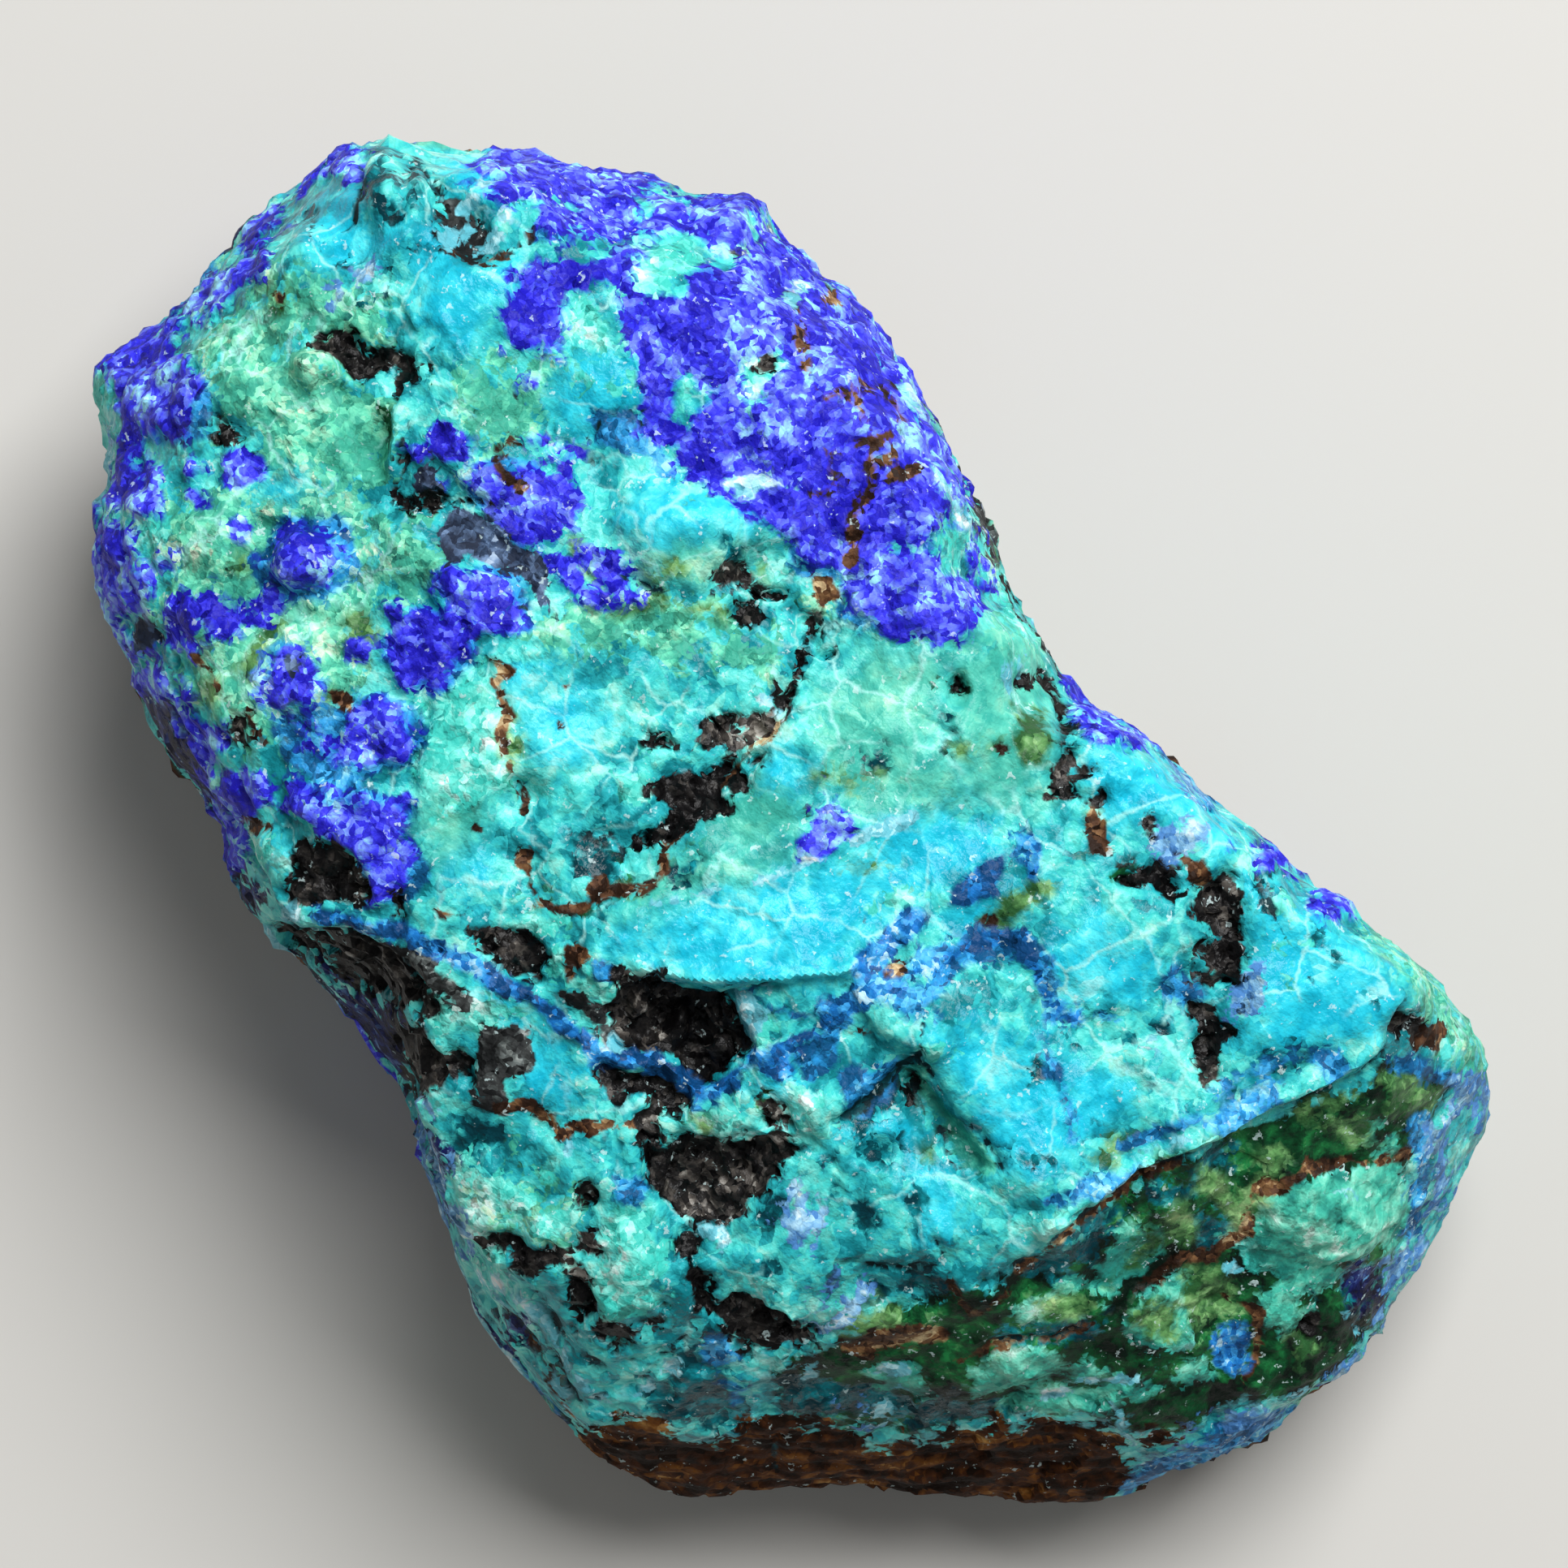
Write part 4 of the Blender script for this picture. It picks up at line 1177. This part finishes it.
def traced_distance(shapes, pixels, scale):
    """Millimetres from each place to a mineral's nearest edge on the face, negative inside it."""
    reach = REACH * scale.max()
    distance = np.full(len(pixels), reach)
    for outline in shapes["patches"].values():
        corners = np.array(outline, float).reshape(-1, 2)
        close = near(pixels, corners.min(0), corners.max(0), reach)
        gap = line_distance(pixels[close], np.vstack([corners, corners[:1]]))
        gap[inside_patch(pixels[close], corners)] *= -1
        distance[close] = np.minimum(distance[close], gap)
    for x, y, half_width, half_height in shapes["balls"]:
        middle, half = np.array([x, y]), np.array([half_width, half_height])
        close = near(pixels, middle - half, middle + half, reach)
        share = np.linalg.norm((pixels[close] - middle) / half, axis=1)
        distance[close] = np.minimum(distance[close], (share - 1) * half.min())
    for width, *path in shapes["veins"].values():
        corners = np.array(path, float).reshape(-1, 2)
        close = near(pixels, corners.min(0), corners.max(0), reach)
        gap = line_distance(pixels[close], corners) - width / 2
        distance[close] = np.minimum(distance[close], gap)
    return distance / scale


def hidden_distance(name, points, seed):
    """The same for the sides and back, where clouds of noise say where the mineral lies."""
    mineral = MINERALS[name]
    shift = [seed * step for step in SEED_STEPS]
    clouds = fractal_noise(points, mineral.spread, 1.0, 4, shift)
    distance = (mineral.rarity - clouds) * mineral.spread * CLOUD_SLOPE
    if name in LOW_MINERALS:
        distance += LOW_PULL * np.maximum(points[:, 2] - LOW_WALL, 0)
    if name == "ironstone":
        distance -= HOST_GROWS
    if name == "azurite":
        distance += AZURITE_PULL * np.maximum(points[:, 0] - AZURITE_END, 0)
    return distance


def mineral_distances(points, face):
    """Every point's distance to each mineral's edge. face is 1 where the picture shows it."""
    scale = pixels_per_mm(points[:, 2])
    bend = np.array([noise.noise_vector(Vector(p) / BEND_SIZE) for p in points])
    pixels = to_picture(points + BEND * bend)
    wander = fractal_noise(points, WANDER_SIZE, 0.8, 3)
    hidden = np.flatnonzero(face < 1)
    share = face[hidden]
    distances = {}
    for seed, (name, mineral) in enumerate(MINERALS.items()):
        distance = traced_distance(mineral.shapes, pixels, scale)
        unseen = hidden_distance(name, points[hidden], seed)
        distance[hidden] = distance[hidden] * share + unseen * (1 - share)
        distance += WANDER * mineral.ragged * wander - mineral.grow
        distances[name] = np.clip(distance, -REACH, REACH)
    windows = traced_distance(AZURITE_WINDOWS, pixels, scale)
    distances["azurite"] = np.maximum(distances["azurite"], -windows)
    return distances


def amount(distance, soft=SOFT_EDGE):
    """1 inside a mineral and 0 outside it, changing over soft millimetres."""
    return smooth_step(soft, -soft, distance)


class Relief(NamedTuple):
    """One kind of roughness: the size of its features and its depth, in millimetres."""

    size: float
    depth: float


BROKEN = Relief(4.6, 0.3)
BROKEN_FINE = Relief(0.9, 0.05)
FACETS_LARGE = Relief(3.4, 0.5)
FACETS_SMALL = Relief(1.2, 0.13)
FACETS_FINE = Relief(0.62, 0.16)
KNOBS = Relief(1.5, 0.3)
KNOBS_SMALL = Relief(0.6, 0.1)
CRUST = Relief(0.75, 0.4)
STREAKS = Relief(0.7, 0.2)
HIDDEN_BROKEN = Relief(8.0, 0.6)
FORM_HEIGHT, FORM_EDGE = 0.7, 0.45  # of the small forms on the face, in millimetres

CHIP_BOW, CHIP_LEAN = 0.3, 1.6  # how much a chip curves, and how much it leans
LEAN_SEED, TONE_SEED = 13.7, 9.1  # tell the draws for a chip's lean and its tone apart
DOME_TOP, DOME_FALL = 0.6, 2.2  # height of a ball-shaped grain, and how it falls to its edge
BLOCK_BEND_SIZE, BLOCK_BEND = 0.7, 0.5  # how the edges of a crust's blocks are bent
GRANULAR = "mint", "malachite", "azure", "lavender", "slate"  # minerals of fine broken grains
LARGE_LOST, SMALL_LOST = 0.35, 0.75  # share of the facets that smooth chrysocolla lacks
STREAK_LENGTH = 0.85  # share by which the ironstone's streaks are drawn out lengthwise


def rough(points, relief, octaves=4):
    """Plainly broken ground."""
    return relief.depth * fractal_noise(points, relief.size, 0.9, octaves)


def facets(points, relief):
    """Nearly flat chips with sharp ridges between them. Gives each point's height and a tone of
    its chip's own."""
    heights, tones = [], []
    for point in points:
        place = Vector(point) / relief.size
        centres = noise.voronoi(place)[1]
        planes = []
        for centre in centres:
            lean = noise.cell_vector(centre * LEAN_SEED) - Vector((0.5, 0.5, 0.5))
            offset = place - centre
            planes.append(CHIP_BOW * offset.length_squared + CHIP_LEAN * lean.dot(offset))
        lowest = min(planes)
        heights.append(lowest)
        tones.append(noise.cell(centres[planes.index(lowest)] * TONE_SEED))
    return relief.depth * (np.array(heights) - np.mean(heights)), np.array(tones)


def domes(points, relief):
    """Ball-shaped grains with creases between them: each point's height and its ball's tone."""
    found = [noise.voronoi(Vector(p) / relief.size) for p in points]
    nearest = np.array([gaps[0] for gaps, centres in found])
    tones = np.array([noise.cell(centres[0] * TONE_SEED) for gaps, centres in found])
    return relief.depth * (DOME_TOP - DOME_FALL * nearest ** 2), tones


def blocks(points, relief):
    """A pitted crust of small broken blocks."""
    bends = [noise.noise_vector(Vector(p) / BLOCK_BEND_SIZE) * BLOCK_BEND for p in points]
    heights = [noise.cell(Vector(p) / relief.size + bend) for p, bend in zip(points, bends)]
    return relief.depth * (np.array(heights) - 0.5)


def skin_relief(points, distances, face):
    """How far each point of the skin moves out in millimetres, and the tone of its own chip or
    ball."""
    total = rough(points, BROKEN) + rough(points, BROKEN_FINE, 2)
    total += (1 - face) * rough(points, HIDDEN_BROKEN, 5)
    inside = {name: amount(distance) for name, distance in distances.items()}
    granular = np.maximum.reduce([inside[name] for name in GRANULAR])
    smooth = np.maximum(inside["bright"], inside["seafoam"])
    plain = 1 - np.maximum(inside["tenorite"], inside["azurite"])
    large, tone_large = facets(points, FACETS_LARGE)
    small, tone_small = facets(points, FACETS_SMALL)
    total += plain * ((1 - LARGE_LOST * smooth) * large + (1 - SMALL_LOST * smooth) * small)
    total += granular * plain * facets(points, FACETS_FINE)[0]
    knobs, tone_knobs = domes(points, KNOBS)
    total += inside["azurite"] * (knobs + domes(points, KNOBS_SMALL)[0])
    total += inside["tenorite"] * (blocks(points, CRUST) + rough(points, BROKEN_FINE, 3))
    lengthwise = np.array([math.cos(LENGTH_ANGLE), math.sin(LENGTH_ANGLE), 0])
    streaked = points - STREAK_LENGTH * (points @ lengthwise)[:, None] * lengthwise
    total += inside["ironstone"] * rough(streaked, STREAKS, 3)
    for name, mineral in MINERALS.items():
        total += mineral.rise * amount(distances[name], RISE_EDGE)
    pixels, scale = to_picture(points), pixels_per_mm(points[:, 2])
    total += face * FORM_HEIGHT * (amount(traced_distance(RIDGES, pixels, scale), FORM_EDGE)
                                   - amount(traced_distance(HOLLOWS, pixels, scale), FORM_EDGE))
    tone_chips = 0.6 * tone_large + 0.4 * tone_small
    return total, np.where(inside["azurite"] > 0.5, tone_knobs, tone_chips)


def add_node(tree, kind, inputs=None, stops=(), **settings):
    """Adds a shader node, sets its settings and fills its sockets with values, with other nodes'
    outputs, or with other nodes, whose first output is meant. Stops are a colour ramp's, with
    each colour as sRGB hex or linear."""
    node = tree.nodes.new("ShaderNode" + kind)
    for name, value in settings.items():
        setattr(node, name, value)
    for key, value in (inputs or {}).items():
        if isinstance(value, bpy.types.Node):
            value = value.outputs[0]
        if isinstance(value, bpy.types.NodeSocket):
            tree.links.new(value, node.inputs[key])
        else:
            node.inputs[key].default_value = value
    for number, (position, colour) in enumerate(stops):
        elements = node.color_ramp.elements
        element = elements[number] if number < len(elements) else elements.new(position)
        element.position = position
        element.color = linear(colour) if isinstance(colour, str) else colour
    return node


RELIEF_RANGE, HEIGHT_TONE = 0.8, 0.13  # millimetres of relief, and the tone they shift by
FACET_TONE = 0.22  # how far a facet's own tone shifts it
CLOUD_MIDDLE = 0.61  # brings the sum of those shifts back to about 0
CHIP_CONTRASTS = {FINE: 0.5, MEDIUM: 0.36, LARGE: 0.22}  # how much those chips differ in tone
TONE_STOPS = 0.2, 0.46, 0.7, 0.9  # where a mineral's four tones lie
CHIP_STEP, GRIT_STEP, EDGE_STEP = 0.6, 0.4, 1.6  # how an edge steps from chip to chip
BODY_ROUGH, BODY_TILT = 0.32, 0.3  # of plain chrysocolla
HEALED_WIDTH, HEALED_STRENGTH = 0.035, 0.65  # of the healed cracks, as shares of a plate and of 1
SEAM_WIDTH, SEAM_SHADE = 0.07, 0.55  # of the dark seams between chips, in the same terms
SPECKS_START, SPECKS_FULL = 1.245, 1.28  # picks above these are pale specks


def stone_material(settings):
    """Broken copper ore: a mosaic of crisp chips, in which each mineral keeps its own tones,
    chip size, gloss and edge."""
    material = bpy.data.materials.new("azurite_chrysocolla_ore")
    material.use_nodes = True
    tree = material.node_tree
    tree.nodes.clear()
    place = add_node(tree, "TexCoord").outputs["Object"]
    attribute = {name: add_node(tree, "Attribute", attribute_name=name).outputs["Fac"]
                 for name in (*MINERALS, "height", "tone")}
    grit_noise, bay_noise, cloud_noise = (
        add_node(tree, "TexNoise", {"Vector": place, "Scale": 1 / (size * MM), "Detail": detail})
        for size, detail in ((GRIT, 2.0), (BAY, 3.0), (CLOUD, 2.0)))
    sway = add_node(tree, "VectorMath", {0: bay_noise.outputs["Color"], 1: (0.5, 0.5, 0.5)},
                    operation="SUBTRACT")
    bent = add_node(tree, "VectorMath", {0: sway, 1: (SWAY * MM,) * 3, 2: place},
                    operation="MULTIPLY_ADD")
    chip_tones, chip_picks, chip_tilts = {}, {}, {}
    for size in (FINE, MEDIUM, LARGE):
        chips = add_node(tree, "TexVoronoi", {"Vector": bent, "Scale": 1 / (size * MM)})
        random = add_node(tree, "SeparateColor", {0: chips.outputs["Color"]})
        chip_tones[size] = random.outputs[0]
        chip_picks[size] = random.outputs[2]
        chip_tilts[size] = add_node(tree, "VectorMath", {
            0: chips.outputs["Color"], 1: (0.5, 0.5, 0.5)}, operation="SUBTRACT")
    seams = add_node(tree, "TexVoronoi", {"Vector": bent, "Scale": 1 / (MEDIUM * MM)},
                     feature="DISTANCE_TO_EDGE")
    plates = add_node(tree, "TexVoronoi", {"Vector": bent, "Scale": 1 / (PLATE * MM)},
                      feature="DISTANCE_TO_EDGE")
    # High places are paler, and each chip and cloud has a tone of its own
    height_shift = add_node(tree, "MapRange", {
        "Value": attribute["height"], 1: -RELIEF_RANGE, 2: RELIEF_RANGE,
        3: -HEIGHT_TONE, 4: HEIGHT_TONE})
    shift = add_node(tree, "Math", {0: attribute["tone"], 1: FACET_TONE, 2: height_shift},
                     operation="MULTIPLY_ADD")
    shift = add_node(tree, "Math", {0: shift, 1: cloud_noise}, operation="ADD")
    shift = add_node(tree, "Math", {0: shift, 1: CLOUD_MIDDLE}, operation="SUBTRACT")
    drivers = {}
    for size, contrast in CHIP_CONTRASTS.items():
        own = add_node(tree, "Math", {0: chip_tones[size], 1: 0.5}, operation="SUBTRACT")
        own = add_node(tree, "Math", {0: own, 1: contrast, 2: shift}, operation="MULTIPLY_ADD")
        drivers[size] = add_node(tree, "Math", {0: own, 1: bay_noise}, operation="ADD")
    colour = add_node(tree, "ValToRGB", {0: drivers[MEDIUM]}, stops=(
        (0.12, "#0e7c86"), (0.32, "#2cb4bc"), (0.5, settings.chrysocolla),
        (0.68, "#6ae4da"), (0.86, "#a8f8e6"))).outputs[0]
    # An edge steps in and out from chip to chip. The shares of chips and grit even out at 0.
    step = add_node(tree, "Math", {
        0: chip_tones[FINE], 1: CHIP_STEP, 2: -(CHIP_STEP + GRIT_STEP / 2)},
        operation="MULTIPLY_ADD")
    step = add_node(tree, "Math", {0: chip_tones[MEDIUM], 1: CHIP_STEP, 2: step},
                    operation="MULTIPLY_ADD")
    wander = add_node(tree, "Math", {0: grit_noise, 1: GRIT_STEP, 2: step},
                      operation="MULTIPLY_ADD")
    healed = add_node(tree, "MapRange", {"Value": plates, 1: 0.0, 2: HEALED_WIDTH,
                                         3: HEALED_STRENGTH, 4: 0.0})
    patchy = add_node(tree, "MapRange", {"Value": cloud_noise, 1: 0.42, 2: 0.58, 3: 0.0, 4: 1.0})
    healed = add_node(tree, "Math", {0: healed, 1: patchy}, operation="MULTIPLY")
    roughness, tilt = BODY_ROUGH, BODY_TILT
    for name, mineral in MINERALS.items():
        edge = add_node(tree, "Math", {
            0: wander, 1: EDGE_STEP * mineral.ragged, 2: attribute[name]},
            operation="MULTIPLY_ADD")
        share = add_node(tree, "MapRange", {"Value": edge, 1: mineral.soft, 2: -mineral.soft,
                                            3: 0.0, 4: 1.0})
        tones = list(mineral.tones)
        if name == "azurite":
            tones[1] = settings.azurite
        tone = add_node(tree, "ValToRGB", {0: drivers[mineral.chip]},
                        stops=zip(TONE_STOPS, tones))
        colour = add_node(tree, "Mix", {0: share, 6: colour, 7: tone},
                          data_type="RGBA").outputs[2]
        roughness = add_node(tree, "Mix", {0: share, 2: roughness, 3: mineral.rough})
        tilt = add_node(tree, "Mix", {0: share, 2: tilt, 3: mineral.tilt})
        if name == "bright":
            # Pale healed cracks between the plates of smooth chrysocolla, under all the rest
            colour = add_node(tree, "Mix", {0: healed, 6: colour, 7: linear("#b4f8f0")},
                              data_type="RGBA").outputs[2]
    seam = add_node(tree, "MapRange", {"Value": seams, 1: 0.0, 2: SEAM_WIDTH,
                                       3: SEAM_SHADE, 4: 1.0})
    seam = add_node(tree, "Mix", {0: tilt, 2: 1.0, 3: seam})
    colour = add_node(tree, "Mix", {0: 1.0, 6: colour, 7: seam}, data_type="RGBA",
                      blend_type="MULTIPLY").outputs[2]
    # Scattered crystal faces that catch the light as pale specks
    speck = add_node(tree, "Math", {0: grit_noise, 1: 0.5, 2: chip_picks[FINE]},
                     operation="MULTIPLY_ADD")
    speck = add_node(tree, "MapRange", {"Value": speck, 1: SPECKS_START, 2: SPECKS_FULL,
                                        3: 0.0, 4: 0.5})
    colour = add_node(tree, "Mix", {0: speck, 6: colour, 7: linear("#dcf6f6")},
                      data_type="RGBA").outputs[2]
    lean = add_node(tree, "VectorMath", {0: chip_tilts[MEDIUM], 1: chip_tilts[FINE]},
                    operation="ADD")
    lean = add_node(tree, "VectorMath", {0: lean, "Scale": tilt}, operation="SCALE")
    lean = add_node(tree, "VectorMath", {0: chip_tilts[LARGE], 1: (0.25,) * 3, 2: lean},
                    operation="MULTIPLY_ADD")
    normal = add_node(tree, "VectorMath", {
        0: add_node(tree, "NewGeometry").outputs["Normal"], 1: lean}, operation="ADD")
    normal = add_node(tree, "VectorMath", {0: normal}, operation="NORMALIZE")
    bump = add_node(tree, "Bump", {"Strength": 1.0, "Distance": settings.grit_depth,
                                   "Height": grit_noise, "Normal": normal})
    surface = add_node(tree, "BsdfPrincipled", {
        "Base Color": colour, "Roughness": roughness, "Normal": bump, "IOR": 1.5,
        "Specular IOR Level": 0.18})
    add_node(tree, "OutputMaterial", {"Surface": surface})
    return material


def only(piece):
    """Leaves one object selected and active."""
    bpy.ops.object.select_all(action="DESELECT")
    piece.select_set(True)
    bpy.context.view_layer.objects.active = piece


def read_points(mesh, what="vertices", key="co"):
    """A mesh's places or normals, one to a row."""
    values = np.empty(len(getattr(mesh, what)) * 3, np.float32)
    getattr(mesh, what).foreach_get(key, values)
    return values.reshape(-1, 3).astype(float)


def divide(piece, chosen, cuts):
    """Divides the chosen faces."""
    only(piece)
    bpy.ops.object.mode_set(mode="EDIT")
    bpy.ops.mesh.select_mode(type="FACE")
    bpy.ops.mesh.select_all(action="DESELECT")
    bpy.ops.object.mode_set(mode="OBJECT")
    piece.data.polygons.foreach_set("select", chosen)
    bpy.ops.object.mode_set(mode="EDIT")
    bpy.ops.mesh.subdivide(number_cuts=cuts, ngon=False)
    bpy.ops.object.mode_set(mode="OBJECT")


class StoneSettings(bpy.types.PropertyGroup):
    """What a user would change on the stone."""

    chrysocolla: bpy.props.FloatVectorProperty(
        name="Chrysocolla", description="Middle tone of the turquoise body", size=4,
        subtype="COLOR", min=0.0, max=1.0, default=linear("#46d2cc"))
    azurite: bpy.props.FloatVectorProperty(
        name="Azurite", description="Middle tone of the blue azurite", size=4,
        subtype="COLOR", min=0.0, max=1.0, default=linear("#3c3cf4"))
    relief: bpy.props.FloatProperty(
        name="Relief", description="How strongly the broken skin stands out", default=1.0,
        min=0.0, max=2.0, subtype="FACTOR")
    grit_depth: bpy.props.FloatProperty(
        name="Grit Depth", description="Height of the finest grains", default=0.06 * MM,
        unit="LENGTH", precision=5)
    face_cuts: bpy.props.IntProperty(
        name="Face Cuts", description="Extra cuts of each triangle of the face", default=2)
    side_cuts: bpy.props.IntProperty(
        name="Side Cuts", description="Extra cuts of each triangle elsewhere", default=1)
    smoothing: bpy.props.IntProperty(
        name="Smoothing", description="Passes that take the solid's flat facets away", default=2)


class StageSettings(bpy.types.PropertyGroup):
    """What a user would change on the stage."""

    floor_colour: bpy.props.FloatVectorProperty(
        name="Floor Colour", description="Colour of the plain floor", size=4, subtype="COLOR",
        min=0.0, max=1.0, default=linear("#cfcdc8"))
    floor_width: bpy.props.FloatProperty(
        name="Floor Width", description="Width of the floor", default=4.0, unit="LENGTH")
    key_power: bpy.props.FloatProperty(
        name="Key Power", description="Power of the window light", default=4.9, unit="POWER")
    fill: bpy.props.FloatProperty(
        name="Fill", description="Strength of the light from all round", default=0.19)


class MESH_OT_phoenix_stone(bpy.types.Operator):
    """Makes the stone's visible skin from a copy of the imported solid"""

    bl_idname = "mesh.phoenix_stone"
    bl_label = "Make Stone"

    def execute(self, context):
        settings = context.scene.phoenix_stone
        noise.seed_set(NOISE_SEED)
        only(frame["nodes"]["stone"])
        bpy.ops.object.duplicate()
        piece = context.active_object
        piece.name = piece.data.name = "ore_lump"
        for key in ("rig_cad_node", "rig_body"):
            del piece[key]
        piece.parent = None
        bpy.ops.object.mode_set(mode="EDIT")
        bpy.ops.mesh.select_all(action="SELECT")
        bpy.ops.mesh.remove_doubles(threshold=0.001 * MM)
        bpy.ops.mesh.subdivide(number_cuts=1, ngon=False)
        bpy.ops.object.mode_set(mode="OBJECT")
        self.smooth(piece, settings.smoothing)
        up = read_points(piece.data, "polygons", "normal")[:, 2]
        divide(piece, up > DETAIL_STARTS, settings.face_cuts)
        up = read_points(piece.data, "polygons", "normal")[:, 2]
        divide(piece, (up <= DETAIL_STARTS) & (up > UNDERSIDE), settings.side_cuts)
        self.smooth(piece, 1)
        self.dress(piece, settings)
        return {"FINISHED"}

    def smooth(self, piece, passes):
        """Rounds the flat facets away, above the flat that the stone rests on."""
        bpy.ops.object.mode_set(mode="EDIT")
        bpy.ops.mesh.select_all(action="DESELECT")
        bpy.ops.object.mode_set(mode="OBJECT")
        above = read_points(piece.data)[:, 2] > FOOT * MM
        piece.data.polygons.foreach_set("select", np.zeros(len(piece.data.polygons), bool))
        piece.data.edges.foreach_set("select", np.zeros(len(piece.data.edges), bool))
        piece.data.vertices.foreach_set("select", above)
        bpy.ops.object.mode_set(mode="EDIT")
        bpy.ops.mesh.select_mode(type="VERT")
        bpy.ops.mesh.vertices_smooth(factor=0.5, repeat=passes)
        bpy.ops.object.mode_set(mode="OBJECT")

    def dress(self, piece, settings):
        """Raises the relief, stores where each mineral is and adds the material."""
        mesh = piece.data
        points = read_points(mesh) / MM
        normals = read_points(mesh, "vertices", "normal")
        lean = normals[:, 2] + BORDER_DEPTH * fractal_noise(points, BORDER_BAY, 0.9, 4)
        lean += RIM_PULL * (points[:, 2] - RIM_HEIGHT)
        face = smooth_step(FACE_STARTS, FACE_ENDS, lean)
        distances = mineral_distances(points, face)
        free = smooth_step(REST_STARTS, REST_ENDS, points[:, 2])
        relief, tone = skin_relief(points, distances, face)
        outward = relief * settings.relief - WALL_INSET * (1 - np.abs(normals[:, 2]))
        points += normals * (outward * free)[:, None]
        points[:, 2] = np.maximum(points[:, 2], 0)
        mesh.vertices.foreach_set("co", (points * MM).astype(np.float32).ravel())
        only(piece)
        bpy.ops.object.mode_set(mode="EDIT")
        bpy.ops.mesh.select_all(action="SELECT")
        bpy.ops.mesh.quads_convert_to_tris()
        bpy.ops.object.mode_set(mode="OBJECT")
        corners = np.empty(len(mesh.loops), np.int32)
        mesh.loops.foreach_get("vertex_index", corners)
        stored = {**distances, "height": relief, "tone": tone[corners[::3]]}
        for name, values in stored.items():
            attribute = mesh.attributes.new(name, "FLOAT", "FACE" if name == "tone" else "POINT")
            attribute.data.foreach_set("value", values.astype(np.float32))
        bpy.ops.object.shade_smooth_by_angle(angle=CREASE)
        mesh.materials.clear()
        mesh.materials.append(stone_material(settings))
        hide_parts("stone")
        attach(piece, "root")


class SCENE_OT_phoenix_stage(bpy.types.Operator):
    """Makes the plain floor, the soft light and the camera"""

    bl_idname = "scene.phoenix_stage"
    bl_label = "Make Stage"

    def execute(self, context):
        settings = context.scene.phoenix_stage
        bpy.ops.mesh.primitive_plane_add(size=settings.floor_width)
        floor = context.active_object
        floor.name = "floor"
        material = bpy.data.materials.new("matt_paper")
        material.use_nodes = True
        shader = material.node_tree.nodes["Principled BSDF"]
        shader.inputs["Base Color"].default_value = settings.floor_colour
        shader.inputs["Roughness"].default_value = 0.9
        floor.data.materials.append(material)
        self.light(context, settings)
        self.camera(context)
        context.scene.view_settings.view_transform = "Standard"
        return {"FINISHED"}

    def light(self, context, settings):
        """A wide window above and beyond the picture's top right, and light from all round."""
        world = bpy.data.worlds.new("soft_room")
        context.scene.world = world
        world.use_nodes = True
        background = world.node_tree.nodes["Background"]
        background.inputs["Color"].default_value = (1.0, 1.0, 1.0, 1.0)
        background.inputs["Strength"].default_value = settings.fill
        away = Vector((math.cos(LIGHT_ANGLE), math.sin(LIGHT_ANGLE), 0)) * LIGHT_DISTANCE
        bpy.ops.object.light_add(type="AREA", location=away + Vector((0, 0, LIGHT_HEIGHT)))
        window = context.active_object
        window.name = "window_light"
        window.rotation_euler = (-window.location).to_track_quat("-Z", "Y").to_euler()
        window.data.size = LIGHT_WIDTH
        window.data.energy = settings.key_power

    def camera(self, context):
        """Looks straight down, from where the reference picture was taken."""
        right, down = (-part for part in origin_offset())
        x = right * math.cos(LENGTH_ANGLE) + down * math.sin(LENGTH_ANGLE)
        y = right * math.sin(LENGTH_ANGLE) - down * math.cos(LENGTH_ANGLE)
        bpy.ops.object.camera_add(location=(x * MM, y * MM, EYE_HEIGHT * MM),
                                  rotation=(0, 0, LENGTH_ANGLE))
        camera = context.active_object
        camera.name = "picture_camera"
        across = PICTURE_SIZE / pixels_per_mm(0.0)
        camera.data.sensor_width = SENSOR
        camera.data.lens = SENSOR * EYE_HEIGHT / across
        camera.data.clip_start = 0.01
        context.scene.camera = camera


class VIEW3D_PT_phoenix_stone(bpy.types.Panel):
    """Lists the stone's and the stage's settings"""

    bl_label = "Phoenix Stone"
    bl_space_type = "VIEW_3D"
    bl_region_type = "UI"
    bl_category = "Specimen"

    def draw(self, context):
        for owner, operator in ((context.scene.phoenix_stone, MESH_OT_phoenix_stone),
                                (context.scene.phoenix_stage, SCENE_OT_phoenix_stage)):
            column = self.layout.column()
            for name in owner.__annotations__:
                column.prop(owner, name)
            column.operator(operator.bl_idname)


CLASSES = (StoneSettings, StageSettings, MESH_OT_phoenix_stone, SCENE_OT_phoenix_stage,
           VIEW3D_PT_phoenix_stone)


def register():
    for cls in CLASSES:
        bpy.utils.register_class(cls)
    bpy.types.Scene.phoenix_stone = bpy.props.PointerProperty(type=StoneSettings)
    bpy.types.Scene.phoenix_stage = bpy.props.PointerProperty(type=StageSettings)


def unregister():
    del bpy.types.Scene.phoenix_stage
    del bpy.types.Scene.phoenix_stone
    for cls in reversed(CLASSES):
        bpy.utils.unregister_class(cls)


def main():
    register()
    bpy.ops.scene.phoenix_stage()
    bpy.ops.mesh.phoenix_stone()


if __name__ == "__main__":
    main()
